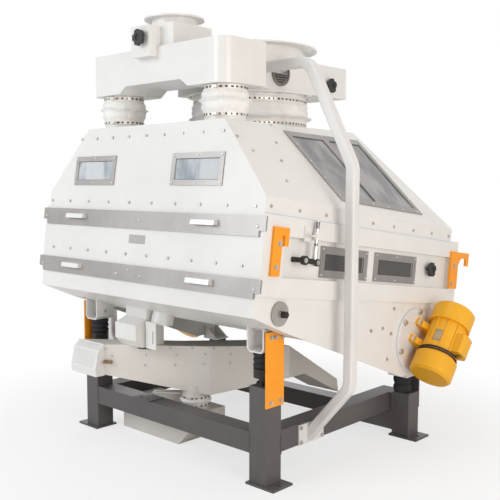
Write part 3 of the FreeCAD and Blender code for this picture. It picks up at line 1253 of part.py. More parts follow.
def build():
    """Make every sub-component."""
    base_frame()
    transport_plates()
    springs()
    spring_brackets()
    wall = tip(side_wall())
    keep("side_wall_right", wall)
    keep("side_wall_left", mirror(wall))
    end_walls()
    lower, upper = tray_bases()
    screen_tray("lower", lower, LOWER_STRIP_V)
    screen_tray("upper", upper, UPPER_STRIP_V)
    hood()
    lifting_hooks()
    adjusters()
    knobs_and_discs()
    motors()
    cross_tube()
    sleeves()
    header()
    stack()
    posts()
    trough()


build()
os.makedirs("parts", exist_ok=True)
for node, shape in NODES.items():
    shape.exportStep("parts/" + node + ".step")
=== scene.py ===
"""Looks of a grain destoner: finishes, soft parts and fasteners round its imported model."""

import logging
import math
from dataclasses import dataclass, field
from enum import Enum
from typing import Callable, Iterable, Optional, Sequence

import bmesh
import bpy
from mathutils import Matrix, Vector, noise


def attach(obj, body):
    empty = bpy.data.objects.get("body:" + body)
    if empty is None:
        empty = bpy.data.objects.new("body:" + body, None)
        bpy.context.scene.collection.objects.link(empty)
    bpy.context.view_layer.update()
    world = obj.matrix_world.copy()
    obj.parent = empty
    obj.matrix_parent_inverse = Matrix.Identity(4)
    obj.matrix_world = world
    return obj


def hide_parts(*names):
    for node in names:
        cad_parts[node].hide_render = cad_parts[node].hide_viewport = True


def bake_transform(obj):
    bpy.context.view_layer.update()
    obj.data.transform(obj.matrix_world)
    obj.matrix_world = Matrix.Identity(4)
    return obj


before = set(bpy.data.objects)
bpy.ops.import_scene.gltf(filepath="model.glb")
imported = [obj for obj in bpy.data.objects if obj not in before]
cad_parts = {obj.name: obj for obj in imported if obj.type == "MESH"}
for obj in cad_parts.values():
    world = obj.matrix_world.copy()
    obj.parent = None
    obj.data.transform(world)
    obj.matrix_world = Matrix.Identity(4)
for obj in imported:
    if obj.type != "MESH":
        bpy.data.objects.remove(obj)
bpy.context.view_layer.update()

log = logging.getLogger("destoner")

MM = 0.001
Pair = tuple[float, float]
Point = tuple[float, float, float]
Colour = tuple[float, float, float]
Mesh = bpy.types.Mesh
Piece = bpy.types.Object
Socket = bpy.types.NodeSocket

# Places on the machine, in mm: X to its right, U and V along and square to the tipped deck

DECK_TILT = math.radians(7.5)
RIGHT = Vector((1, 0, 0)).freeze()
FEED_AXES = ((367, -505), (-367, -505))
MAIN_AXIS = (0, 51)
OUTLET_AXIS = (-58, -300)
MOTOR_PLACE = Vector((915, 524, 522)).freeze()
MOTOR_LEAN = math.radians(-40)
WALL_FRONT_U = -854
COVER_FACE_U = -862.5
HOOD_FRONT_U = -848
HOOD_REAR_U = 700
HOOD_SIDE_X = 778
HOOD_LOW_V = 1190
HOOD_TOP_EDGE = Vector((0, -635, 1615)).freeze()
HOOD_TOP_CORNER = Vector((493, -635, 1615)).freeze()


def deck(x: float, u: float, v: float) -> Vector:
    """Carries a point of the level vibrating body to its tipped place, in mm."""
    c, s = math.cos(DECK_TILT), math.sin(DECK_TILT)
    return Vector((x, u * c + v * s, v * c - u * s))


def deck_way(u: float, v: float) -> Vector:
    """Turns a direction of the level body into a unit direction of the tipped one."""
    return deck(0, u, v).normalized()


def motor_place(point: Vector) -> Vector:
    """Carries a point drawn round the right motor's shaft, with Z along it, to its place, in mm."""
    return Matrix.Rotation(MOTOR_LEAN, 3, "X") @ point + MOTOR_PLACE


def mirrored(point: Vector) -> Vector:
    """Returns the same point on the machine's other side."""
    return Vector((-point.x, point.y, point.z))


def evenly(first: float, last: float, count: int) -> list[float]:
    """Returns a number of evenly spaced values from the first to the last."""
    return [first + step * (last - first) / (count - 1) for step in range(count)]


# Node trees


class Wiring:
    """A node tree while it is being wired."""

    def __init__(self, tree: bpy.types.NodeTree) -> None:
        """Starts from an emptied tree."""
        self.tree = tree
        self.tree.nodes.clear()

    def add(self, kind: str, inputs: Optional[dict[str | int, object]] = None, **settings: str
            ) -> bpy.types.Node:
        """Adds a node.

        Args:
            kind: Its type.
            inputs: Value, socket or list of sockets for each input.
            settings: Its other properties.

        Returns:
            The node.
        """
        node = self.tree.nodes.new(kind)
        for name, value in settings.items():
            setattr(node, name, value)
        for key, value in (inputs or {}).items():
            for part in value if isinstance(value, list) else [value]:
                if isinstance(part, Socket):
                    self.tree.links.new(part, node.inputs[key])
                else:
                    node.inputs[key].default_value = part
        return node

    def sums(self, operation: str, *values: Socket | float) -> Socket:
        """Adds a maths node on values or sockets and returns its result."""
        return self.add("ShaderNodeMath", dict(enumerate(values)), operation=operation).outputs[0]

    def show(self, output: str, share: Socket, first: bpy.types.Node, last: bpy.types.Node) -> None:
        """Shows a mix of two shaders.

        Args:
            output: Type of the output node.
            share: Share of the last shader.
            first: First shader.
            last: Last shader.
        """
        mixed = self.add("ShaderNodeMixShader", {"Fac": share, 1: first.outputs[0], 2: last.outputs[0]})
        self.add(output, {"Surface": mixed.outputs[0]})


class Shading(Wiring):
    """A material's nodes, on Object coordinates."""

    def __init__(self, name: str, values: dict[str, float]) -> None:
        """Starts a material with its output, shader and coordinates.

        Args:
            name: Material name.
            values: Values of the shader's inputs.
        """
        self.material = bpy.data.materials.new(name)
        self.material.use_nodes = True
        super().__init__(self.material.node_tree)
        self.shader = self.add("ShaderNodeBsdfPrincipled", values)
        self.add("ShaderNodeOutputMaterial", {"Surface": self.shader.outputs["BSDF"]})
        self.where = self.add("ShaderNodeTexCoord").outputs["Object"]

    def set(self, name: str, source: Socket) -> None:
        """Joins a socket to an input of the shader."""
        self.tree.links.new(source, self.shader.inputs[name])

    def noise(self, scale: float, detail: float, stretch: Optional[Point] = None) -> Socket:
        """Adds a noise texture.

        Args:
            scale: Noise scale per metre.
            detail: Octaves.
            stretch: Scale of the coordinates along each axis.

        Returns:
            The socket with its value.
        """
        where = self.where
        if stretch:
            where = self.add("ShaderNodeMapping", {"Vector": where, "Scale": stretch}).outputs["Vector"]
        return self.add("ShaderNodeTexNoise", {"Scale": scale, "Detail": detail, "Vector": where}).outputs["Fac"]

    def ramp(self, value: Socket, span: Pair, first: Colour, last: Colour) -> Socket:
        """Turns a value into a colour between two.

        Args:
            value: The value.
            span: Values of the first and the last colour.
            first: First colour.
            last: Last colour.

        Returns:
            The socket with the colour.
        """
        node = self.add("ShaderNodeValToRGB", {"Fac": value})
        for element, position, colour in zip(node.color_ramp.elements, span, (first, last)):
            element.position = position
            element.color = (*colour, 1)
        return node.outputs["Color"]

    def mix(self, share: Socket, first: Socket, last: Socket) -> Socket:
        """Mixes two colours by the share of the last one."""
        return self.add("ShaderNodeMix", {"Factor": share, 6: first, 7: last}, data_type="RGBA").outputs[2]


class Laying(Wiring):
    """A geometry node tree with named inputs."""

    def __init__(self, name: str, takes: dict[str, str]) -> None:
        """Starts a tree that takes a mesh and more.

        Args:
            name: Tree name.
            takes: Socket type of each further input by its name.
        """
        super().__init__(bpy.data.node_groups.new(name, "GeometryNodeTree"))
        for label, kind in {"Mesh": "Geometry", **takes}.items():
            self.tree.interface.new_socket(label, in_out="INPUT", socket_type="NodeSocket" + kind)
        self.tree.interface.new_socket("Made", in_out="OUTPUT", socket_type="NodeSocketGeometry")
        self.given = self.add("NodeGroupInput").outputs

    def read(self, name: str) -> Socket:
        """Reads a named vector of each point."""
        node = self.add("GeometryNodeInputNamedAttribute", data_type="FLOAT_VECTOR")
        node.inputs["Name"].default_value = name
        return node.outputs["Attribute"]

    def scatter(self, thing: Socket, turn: Socket, size: Socket | Point) -> Socket:
        """Sets a thing on every point and gives it the finish.

        Args:
            thing: The thing's geometry.
            turn: Its turn at each point.
            size: Its scale at each point.

        Returns:
            The socket with the plain geometry.
        """
        points = self.add("GeometryNodeMeshToPoints", {"Mesh": self.given["Mesh"]})
        spread = self.add("GeometryNodeInstanceOnPoints", {"Points": points.outputs["Points"], "Instance": thing,
                                                           "Rotation": turn, "Scale": size})
        real = self.add("GeometryNodeRealizeInstances", {"Geometry": spread.outputs["Instances"]})
        return self.add("GeometryNodeSetMaterial", {"Geometry": real.outputs["Geometry"],
                                                    "Material": self.given["Finish"]}).outputs["Geometry"]

    def run(self, mesh: Mesh, made: Socket, values: dict[str, object]) -> Mesh:
        """Runs the tree on a mesh once.

        Args:
            mesh: The mesh that goes in.
            made: Socket with the geometry that comes out.
            values: Input values by name.

        Returns:
            The plain mesh.
        """
        self.add("NodeGroupOutput", {"Made": made})
        carrier = bpy.data.objects.new("carrier", mesh)
        bpy.context.scene.collection.objects.link(carrier)
        modifier = carrier.modifiers.new("nodes", "NODES")
        modifier.node_group = self.tree
        for item in self.tree.interface.items_tree:
            if item.name in values:
                modifier[item.identifier] = values[item.name]
        bpy.context.view_layer.update()
        seen = carrier.evaluated_get(bpy.context.evaluated_depsgraph_get())
        plain = bpy.data.meshes.new_from_object(seen)
        bpy.data.objects.remove(carrier)
        return plain


# Finishes


class Grain(Enum):
    """How a finish's fine relief lies on the surface."""

    ORANGE_PEEL = "orange peel"
    BRUSHED = "brushed"
    WEAVE = "weave"
    CAST = "cast"
    SMOOTH = "smooth"


@dataclass(frozen=True)
class Finish:
    """One surface finish.

    Attributes:
        name: Material name.
        colour: Main colour, linear.
        shade: Second colour that drifts across the surface.
        roughness: Mean roughness.
        spread: Half the range of roughness.
        metallic: 1 for bare metal.
        grain: Kind of fine relief.
        grain_size: Size of the relief, in mm.
        relief: Height of the relief, in mm.
        specular: Specular level.
        coat: Clear coat weight.
        sheen: Sheen weight.
        drift: Size of the slow colour drift, in mm.
        coat_roughness: Roughness of the clear coat.
        sheen_roughness: Roughness of the sheen.
    """

    name: str
    colour: Colour
    shade: Colour
    roughness: float
    spread: float = 0.05
    metallic: float = 0.0
    grain: Grain = Grain.ORANGE_PEEL
    grain_size: float = 3.0
    relief: float = 0.02
    specular: float = 0.5
    coat: float = 0.0
    sheen: float = 0.0
    drift: float = 260.0
    coat_roughness: float = 0.12
    sheen_roughness: float = 0.5

    def material(self) -> bpy.types.Material:
        """Builds the material, or returns the one already built.

        Returns:
            The material with its node tree.
        """
        found = bpy.data.materials.get(self.name)
        if found:
            return found
        made = Shading(self.name, {"Metallic": self.metallic, "Specular IOR Level": self.specular,
                                   "Coat Weight": self.coat, "Coat Roughness": self.coat_roughness,
                                   "Sheen Weight": self.sheen, "Sheen Roughness": self.sheen_roughness})
        patch = made.noise(9000.0 / self.drift, 5.0)
        self.paint(made, patch)
        gloss = made.add("ShaderNodeMapRange", {"To Min": max(self.roughness - self.spread, 0.02),
                                                "To Max": min(self.roughness + self.spread, 1.0), "Value": patch})
        made.set("Roughness", gloss.outputs["Result"])
        if self.grain is not Grain.SMOOTH:
            bump = made.add("ShaderNodeBump", {"Distance": self.relief * MM, "Height": self.relief_shape(made)})
            made.set("Normal", bump.outputs["Normal"])
        return made.material

    def paint(self, made: Shading, patch: Socket) -> None:
        """Colours the surface.

        Args:
            made: The tree being built.
            patch: Patchy value between 0 and 1.
        """
        blend = made.sums("MULTIPLY_ADD", patch, 0.35, made.noise(1000.0 / self.drift, 3.0))
        made.set("Base Color", made.ramp(blend, (0.45, 0.85), self.shade, self.colour))

    def relief_shape(self, made: Shading) -> Socket:
        """Adds the fine relief's height.

        Args:
            made: The tree being built.

        Returns:
            The socket with the height.
        """
        scale = 1000.0 / self.grain_size
        if self.grain is Grain.WEAVE:
            values = {"Scale": scale / 3.0, "Distortion": 0.6, "Vector": made.where}
            return made.sums("ADD", *(made.add("ShaderNodeTexWave", values, bands_direction=way).outputs["Fac"]
                                      for way in "XZ"))
        if self.grain is Grain.BRUSHED:
            return made.noise(scale, 2.0, (0.02, 1.0, 1.0))
        return made.noise(scale, 6.0 if self.grain is Grain.CAST else 2.0)


@dataclass(frozen=True)
class PaneFinish(Finish):
    """Glazing: milky in front, smoked in the hood's sides with lighter patches that are partly painted
    reflection, and darker still in the side recesses, where the dark is painted shade.

    Attributes:
        milky: Pale colour of the front panes.
        milky_shade: Darker colour of their streaks.
        recess: Colour of the panes low in the sides, painted shade for the dark recess behind the glass.
        front_reach: Y in front of which a pane is milky, in metres.
        painted_shade_top: Z under which a pane takes the painted shade, in metres.
    """

    milky: Colour = (0.60, 0.625, 0.65)
    milky_shade: Colour = (0.30, 0.34, 0.39)
    recess: Colour = (0.055, 0.051, 0.05)
    front_reach: float = -0.6
    painted_shade_top: float = 1.12

    def paint(self, made: Shading, patch: Socket) -> None:
        """Colours the panes by where they sit on the machine: painted shade on the low ones in the side recesses,
        and lighter patches on the smoked ones that are partly painted reflection.

        Args:
            made: The tree being built.
            patch: Patchy value between 0 and 1.
        """
        apart = made.add("ShaderNodeSeparateXYZ", {0: made.where}).outputs
        # Streak noise: milky streaks in front, and on the smoked panes lighter patches that are partly painted
        # reflection
        streak_and_reflection = made.noise(9.0, 4.0, (1.0, 1.0, 0.35))
        milky = made.ramp(streak_and_reflection, (0.42, 0.56), self.milky_shade, self.milky)
        smoked = made.ramp(streak_and_reflection, (0.40, 0.62), self.shade, self.colour)
        # Painted shade: the near black panes low in the side recesses
        recess_painted_shade = made.ramp(patch, (0.3, 0.8), self.recess, tuple(1.5 * part for part in self.recess))
        high = made.sums("GREATER_THAN", apart["Z"], self.painted_shade_top)
        fore = made.sums("LESS_THAN", apart["Y"], self.front_reach)
        made.set("Base Color", made.mix(fore, made.mix(high, recess_painted_shade, smoked), milky))


class Palette:
    """The finishes that the machine wears."""

    BODY = Finish("warm_white_powder_coat", (0.81, 0.80, 0.785), (0.77, 0.755, 0.735), 0.34, coat=0.15)
    POST = Finish("light_grey_powder_coat", (0.76, 0.75, 0.745), (0.70, 0.69, 0.685), 0.36)
    # Painted shade: a darker, warmer copy of the body white for the trough, floor chute and cross tube, which sit
    # in shade under the body
    BODY_PAINTED_SHADE = Finish("body_white_painted_shade", (0.73, 0.69, 0.65), (0.68, 0.64, 0.595), 0.38)
    FRAME = Finish("dark_grey_satin", (0.108, 0.098, 0.099), (0.086, 0.078, 0.08), 0.4)
    ORANGE = Finish("orange_enamel", (0.98, 0.36, 0.010), (0.94, 0.33, 0.008), 0.42)
    MOTOR = Finish("golden_yellow_enamel", (0.90, 0.45, 0.010), (0.83, 0.40, 0.008), 0.36,
                   grain=Grain.CAST, relief=0.05)
    STAINLESS = Finish("brushed_stainless", (0.395, 0.375, 0.36), (0.325, 0.305, 0.295), 0.42, metallic=0.85,
                       grain=Grain.BRUSHED, grain_size=1.2, relief=0.012)
    POLISHED = Finish("polished_pull", (0.86, 0.86, 0.86), (0.78, 0.78, 0.78), 0.25, metallic=0.5,
                      grain=Grain.SMOOTH)
    ZINC = Finish("bright_zinc", (0.72, 0.72, 0.71), (0.58, 0.58, 0.56), 0.3, metallic=0.9, grain=Grain.SMOOTH)
    BOLT = Finish("zinc_bolt", (0.62, 0.61, 0.59), (0.46, 0.45, 0.43), 0.4, metallic=0.6, grain=Grain.SMOOTH,
                  drift=30.0)
    GREY = Finish("clamp_grey_steel", (0.37, 0.35, 0.33), (0.31, 0.29, 0.27), 0.45)
    BRONZE = Finish("bronze_grille", (0.25, 0.215, 0.19), (0.15, 0.12, 0.10), 0.45, metallic=0.3, drift=60.0)
    TAG = Finish("dull_plate", (0.50, 0.41, 0.27), (0.42, 0.34, 0.22), 0.5, drift=30.0)
    DARK = Finish("black_steel", (0.035, 0.033, 0.032), (0.02, 0.019, 0.018), 0.32, metallic=0.4, drift=30.0)
    BRASS = Finish("aged_brass", (0.42, 0.31, 0.20), (0.17, 0.11, 0.07), 0.4, metallic=0.8, grain=Grain.SMOOTH,
                   drift=20.0)
    PANE = PaneFinish("glazing", (0.27, 0.25, 0.257), (0.085, 0.078, 0.084), 0.12, spread=0.04,
                      grain=Grain.SMOOTH, coat=0.6, drift=90.0)
    CLOTH = Finish("sleeve_cloth", (0.93, 0.925, 0.91), (0.83, 0.815, 0.79), 0.85, grain=Grain.WEAVE,
                   grain_size=2.4, relief=0.25, sheen=0.3, specular=0.2, drift=60.0)
    RUBBER = Finish("black_rubber", (0.02, 0.019, 0.018), (0.012, 0.012, 0.012), 0.55, grain=Grain.CAST,
                    relief=0.05)
    PLASTIC = Finish("black_plastic", (0.018, 0.018, 0.019), (0.012, 0.012, 0.013), 0.36)
    BAND = Finish("clamp_band_steel", (0.80, 0.77, 0.72), (0.66, 0.61, 0.54), 0.36, metallic=0.5,
                  grain=Grain.SMOOTH, drift=24.0)
    SLOT = Finish("band_slot_shade", (0.10, 0.065, 0.04), (0.06, 0.04, 0.025), 0.6, grain=Grain.SMOOTH)
    SEAL = Finish("pale_blue_seal", (0.60, 0.70, 0.78), (0.52, 0.63, 0.73), 0.45, grain=Grain.SMOOTH)
    PALE = Finish("pale_screw", (0.78, 0.77, 0.75), (0.66, 0.65, 0.62), 0.35, metallic=0.3, grain=Grain.SMOOTH)
    SCREEN = Finish("woven_wire", (0.45, 0.45, 0.43), (0.35, 0.35, 0.33), 0.4, metallic=0.9, grain=Grain.WEAVE,
                    grain_size=4.0, relief=0.5)


NODE_FINISHES: dict[Finish, tuple[str, ...]] = {
    Palette.FRAME: ("front_legs", "rear_legs", "side_beams", "front_beam", "rear_beam"),
    Palette.ORANGE: ("transport_plates", "lifting_hooks"),
    Palette.MOTOR: ("motor_housing_right", "motor_housing_left", "motor_caps"),
    Palette.STAINLESS: ("upper_cover", "lower_cover", "window_frames", "upper_tray", "lower_tray"),
    Palette.SCREEN: ("upper_screen", "lower_screen"),
    Palette.PANE: ("window_panes",),
    Palette.ZINC: ("motor_rotor_right", "motor_rotor_left", "feed_flap", "damper_gate", "adjust_rod_left",
                   "adjust_rod_right"),
    Palette.DARK: ("lever_left", "lever_right", "front_spring_seats"),
    Palette.BRASS: ("cover_latch",),
    Palette.BAND: ("fixed_sleeve_bands", "moving_sleeve_bands"),
    Palette.GREY: ("clamp_discs",),
    Palette.BRONZE: ("false_air_grille",),
    Palette.POST: ("support_posts", "motor_discs", "support_beam"),
    # Body white with painted shade for the parts under the body
    Palette.BODY_PAINTED_SHADE: ("collecting_trough", "floor_chute", "cross_tube"),
    Palette.PLASTIC: ("feed_handwheel", "side_knob_right", "side_knob_left", "damper_shaft"),
}


def dress_nodes() -> None:
    """Gives each CAD node its finish; what isn't listed is body white."""
    chosen = {node: finish for finish, nodes in NODE_FINISHES.items() for node in nodes}
    for name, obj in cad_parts.items():
        finish = chosen.get(name, Palette.BODY)
        obj.data.materials.clear()
        obj.data.materials.append(finish.material())
    log.info("dressed %d CAD nodes", len(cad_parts))


# Pieces and meshes


def loose_piece(name: str, mesh: Mesh, finish: Finish, smooth: bool = True) -> Piece:
    """Makes a finished piece that no body carries yet.

    Args:
        name: Piece name.
        mesh: Mesh in metres in the row frame.
        finish: Its finish.
        smooth: Whether the faces are shaded smooth.

    Returns:
        The new object.
    """
    mesh.name = name
    if not mesh.materials:
        mesh.materials.append(finish.material())
    for face in mesh.polygons:
        face.use_smooth = smooth
    obj = bpy.data.objects.new(name, mesh)
    bpy.context.scene.collection.objects.link(obj)
    log.info("piece %s: %d faces", name, len(mesh.polygons))
    return obj


def new_piece(name: str, mesh: Mesh, finish: Finish, body: str, smooth: bool = False) -> Piece:
    """Makes a finished piece of a mesh and lets it ride on a body.

    Args:
        name: Piece name.
        mesh: Mesh in metres in the row frame.
        finish: Its finish.
        body: CAD body that carries it.
        smooth: Whether the faces are shaded smooth.

    Returns:
        The new object.
    """
    obj = loose_piece(name, mesh, finish, smooth)
    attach(obj, body)
    return obj


def thicken(piece: Piece, thick: float) -> None:
    """Gives a sheet a thickness outwards, in mm."""
    shell = piece.modifiers.new("thickness", "SOLIDIFY")
    shell.thickness = thick * MM
    shell.offset = -1


def plain_mesh(name: str, verts: Sequence, edges: Sequence = (), faces: Sequence = ()) -> Mesh:
    """Makes a mesh of its vertices in metres, edges and faces."""
    mesh = bpy.data.meshes.new(name)
    mesh.from_pydata(list(verts), list(edges), list(faces))
    return mesh


def marked_points(places: Sequence[Vector], values: dict[str, Sequence[Vector]]) -> Mesh:
    """Makes loose points that carry vectors.

    Args:
        places: The points, in mm.
        values: Vector of each point under each name.

    Returns:
        The mesh, in metres.
    """
    mesh = plain_mesh("points", [place * MM for place in places])
    for name, vectors in values.items():
        layer = mesh.attributes.new(name, "FLOAT_VECTOR", "POINT")
        for index, vector in enumerate(vectors):
            layer.data[index].vector = vector
    return mesh


def swept_line(route: Sequence[Vector], radius: float, sides: int) -> Mesh:
    """Sweeps a round section along a line by Geometry Nodes.

    Args:
        route: Points of the line, in mm.
        radius: Radius of the section, in mm.
        sides: Sides of the section.

    Returns:
        The mesh, closed at both ends, in metres.
    """
    laying = Laying("swept_line", {"Radius": "Float"})
    line = laying.add("GeometryNodeMeshToCurve", {"Mesh": laying.given["Mesh"]})
    section = laying.add("GeometryNodeCurvePrimitiveCircle", {
        "Resolution": sides, "Radius": laying.given["Radius"]})
    sweep = laying.add("GeometryNodeCurveToMesh", {"Curve": line.outputs["Curve"], "Fill Caps": True,
                                                   "Profile Curve": section.outputs["Curve"]})
    mesh = plain_mesh("line", [spot * MM for spot in route],
                      [(step, step + 1) for step in range(len(route) - 1)])
    return laying.run(mesh, sweep.outputs["Mesh"], {"Radius": radius * MM})


def turned(profile: Sequence[Pair], centre: Pair, steps: int,
           ripple: Callable[[float, float], float] = lambda angle, height: 0.0) -> Mesh:
    """Turns a profile about an upright axis.

    Args:
        profile: (radius, height) pairs in mm, from the low end to the high end, outside.
        centre: X and Y of the axis, in mm.
        steps: Sides round the axis.
        ripple: Extra radius in mm for an angle and a height.

    Returns:
        The mesh, in metres.
    """
    verts: list[Point] = []
    for radius, height in profile:
        for step in range(steps):
            angle = 2 * math.pi * step / steps
            reach = radius + ripple(angle, height)
            verts.append(((centre[0] + reach * math.cos(angle)) * MM, (centre[1] + reach * math.sin(angle)) * MM,
                          height * MM))
    faces: list[tuple[int, ...]] = []
    for row in range(0, (len(profile) - 1) * steps, steps):
        for step in range(steps):
            after = (step + 1) % steps
            faces.append((row + step, row + after, row + steps + after, row + steps + step))
    return plain_mesh("turned", verts, (), faces)


def joined(meshes: Iterable[Mesh]) -> Mesh:
    """Joins meshes in one frame into one.

    Args:
        meshes: The meshes.

    Returns:
        The joined mesh.
    """
    whole = bmesh.new()
    for mesh in meshes:
        whole.from_mesh(mesh)
    made = bpy.data.meshes.new("joined")
    whole.to_mesh(made)
    whole.free()
    return made


def flipped(mesh: Mesh) -> Mesh:
    """Copies a mesh to the machine's other side, with its faces outwards.

    Args:
        mesh: Mesh on the right side.

    Returns:
        Its mirror image on the left side.
    """
    copy = mesh.copy()
    copy.transform(Matrix.Scale(-1, 4, RIGHT))
    copy.flip_normals()
    return copy


def paired(mesh: Mesh) -> Mesh:
    """Joins a mesh on the right side with its mirror image."""
    return joined([mesh, flipped(mesh)])


def slab(corners: Sequence[Vector], out: Vector, thick: float, edge: float = 0.0) -> Mesh:
    """Makes a thin plate from its corners, or a pressed panel with a sloping edge.

    Args:
        corners: Corners of the seated face, in mm.
        out: Outward direction.
        thick: Thickness, in mm.
        edge: Run of the slope, in mm.

    Returns:
        The closed mesh, in metres.
    """
    count = len(corners)
    middle = sum(corners, Vector()) / count
    verts = [corner * MM for corner in corners] + [(corner + out * thick) * MM for corner in corners]
    faces = [tuple(range(count - 1, -1, -1)), tuple(range(count, 2 * count))]
    for index in range(count):
        after = (index + 1) % count
        faces.append((index, after, after + count, index + count))
    mesh = plain_mesh("slab", verts, (), faces)
    form = bmesh.new()
    form.from_mesh(mesh)
    bmesh.ops.recalc_face_normals(form, faces=form.faces)
    form.to_mesh(mesh)
    form.free()
    if edge:
        for index, corner in enumerate(corners):
            inward = (middle - corner).normalized() * edge
            mesh.vertices[count + index].co = (corner + inward + out * thick) * MM
    return mesh


# Soft parts


@dataclass
class RubberSpring:
    """Ribbed rubber springs that replace one CAD node.

    Attributes:
        node: CAD node that they stand for.
        centre: X and Y of the right one, in mm.
        low: Lower end, in mm.
        high: Upper end, in mm.
        radius: Outer radius, in mm.
        ribs: Number of ribs.
        waist: Radius between two ribs as a share of the outer one.
        steps: Sides round the axis.
        rows: Rows of faces on each rib.
    """

    node: str
    centre: Pair
    low: float
    high: float
    radius: float
    ribs: int
    waist: float = 0.78
    steps: int = 48
    rows: int = 16

    def build(self) -> Piece:
        """Turns the right spring, mirrors it and joins both.

        Returns:
            The piece.
        """
        rows = self.rows * self.ribs
        profile = [(0.1, self.low)]
        for row in range(rows + 1):
            share = row / rows
            wave = abs(math.sin(math.pi * self.ribs * share)) ** 0.45
            profile.append((self.radius * (self.waist + (1 - self.waist) * wave),
                            self.low + share * (self.high - self.low)))
        profile.append((0.1, self.high))
        right = turned(profile, self.centre, self.steps)
        piece = loose_piece(self.node + "_ribbed", paired(right), Palette.RUBBER)
        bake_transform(piece)
        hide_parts(self.node)
        return piece


@dataclass
class ClothSleeve:
    """Gathered cloth sleeves that replace one CAD node, between the ducts and the vibrating body.

    Attributes:
        node: CAD node that they stand for.
        centres: X and Y of each axis, in mm.
        radius: Inner radius, in mm.
        low: Lower end, in mm.
        high: Upper end, in mm.
        cuff: Height under each clamp band, in mm.
        folds: Each fold's place and half width as shares of the free height, and its bulge in mm.
        seed: Start of the wrinkles.
        above: Body over the sleeve; not used.
        below: Body under it; not used.
        crisp: Half width under which a fold is a sharp crease.
        stand: Distance of the cloth's outside from the inner radius, in mm.
        rows: Rows of faces up the sleeve.
        steps: Sides round the axis.
    """

    node: str
    centres: tuple[Pair, ...]
    radius: float
    low: float
    high: float
    cuff: float
    folds: tuple[Point, ...]
    seed: float
    above: str = "frame"
    below: str = "vibrating_body"
    crisp: float = 0.1
    stand: float = 3.0
    rows: int = 84
    steps: int = 144

    def reach(self, angle: float, height: float, phase: float) -> float:
        """Finds the cloth's extra radius at one place.

        Args:
            angle: Angle round the axis.
            height: Height, in mm.
            phase: Start of this sleeve's wrinkles.

        Returns:
            The extra radius, in mm.
        """
        free = (height - self.low - self.cuff) / (self.high - self.low - 2 * self.cuff)
        if free <= 0 or free >= 1:
            return 0.3 * math.sin(46 * angle + phase)
        fade = min(1.0, math.sin(math.pi * free) * 1.8)
        around = Vector((math.cos(angle), math.sin(angle), 0))
        total = 0.0
        for number, (place, width, bulge) in enumerate(self.folds):
            sway = 0.085 * noise.noise(around * 1.6 + Vector((0, 0, phase + 5 * number)))
            sway += 0.03 * noise.noise(around * 4.5 + Vector((0, 0, phase + 9 * number)))
            body = 1 + 0.45 * noise.noise(around * 2.4 + Vector((0, 0, phase + 2 + 3 * number)))
            off = (free - place - sway) / width
            fall = abs(off) if width < self.crisp else off * off * (1.4 if off < 0 else 0.9)
            total += bulge * body * math.exp(-fall)
        gather = noise.noise(Vector((around.x * 9, around.y * 9, free * 1.4 + phase)))
        crease = noise.noise(Vector((around.x * 4 + free * 2, around.y * 4, free * 5 + phase)))
        return fade * (total + 2.2 * gather + 2.4 * crease)

    def build(self) -> Piece:
        """Gathers each sleeve and joins them.

        Returns:
            The piece.
        """
        outer = [(self.radius + self.stand, self.low + row / self.rows * (self.high - self.low))
                 for row in range(self.rows + 1)]
        parts = []
        for number, centre in enumerate(self.centres):
            phase = self.seed + 11.3 * number
            parts.append(turned(outer, centre, self.steps,
                                lambda angle, height, phase=phase: self.reach(angle, height, phase)))
        piece = loose_piece(self.node + "_cloth", joined(parts), Palette.CLOTH)
        thicken(piece, 1.5)
        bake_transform(piece)
        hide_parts(self.node)
        return piece


@dataclass
class MotorCable:
    """Black cable wound round each vibrating motor and led into its gland.

    Attributes:
        radius: Cable radius, in mm.
        coil: Radius of the winding, in mm.
        turns: Number of turns.
        start: Height of the first turn along the shaft, in mm.
        pitch: Rise of one turn, in mm.
        gland: Distance of the gland from the shaft, in mm.
        gland_end: Height of the gland's mouth along the shaft, in mm.
        nut: Radius and height of the gland's nut, in mm.
        count: Points on one turn.
    """

    radius: float = 4.2
    coil: float = 97.1
    turns: int = 2
    start: float = -90.5
    pitch: float = 12.0
    gland: float = 112.0
    gland_end: float = -64.0
    nut: Pair = (14.0, 9.0)
    count: int = 48

    def route(self) -> list[Vector]:
        """Finds the cable's centre line round the right motor's shaft.

        Returns:
            Its points, in mm.
        """
        route: list[Vector] = []
        for step in range(self.count * self.turns + 1):
            angle = 2 * math.pi * step / self.count
            height = self.start + self.pitch * step / self.count
            route.append(Vector((self.coil * math.cos(angle), self.coil * math.sin(angle), height)))
        end = route[-1]
        for share in (0.2, 0.45, 0.7, 1.0):
            route.append(Vector((end.x + (self.gland - end.x) * share, 0,
                                 end.z + (self.gland_end - end.z) * share ** 2)))
        return route

    def build(self) -> Piece:
        """Sweeps the cable along its route on both motors, with a nut on each gland.

        Returns:
            The cable's piece.
        """
        right = swept_line([motor_place(spot) for spot in self.route()], self.radius, 10)
        piece = new_piece("motor_cable_wound", paired(right), Palette.PLASTIC, "vibrating_body",
                          smooth=True)
        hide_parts("motor_cables")
        radius, depth = self.nut
        form = bmesh.new()
        bmesh.ops.create_cone(form, cap_ends=True, segments=8, radius1=radius, radius2=radius, depth=depth)
        for corner in form.verts:
            corner.co = motor_place(corner.co + Vector((self.gland, 0, self.gland_end + 4.6))) * MM
        nut = bpy.data.meshes.new("nut")
        form.to_mesh(nut)
        form.free()
        new_piece("gland_nuts", paired(nut), Palette.PLASTIC, "vibrating_body")
        return piece


# Fasteners


class Head(Enum):
    """Kinds of fastener head: number of sides and share of the radius at the top."""

    HEX = (6, 1.0)
    PAN = (20, 0.72)


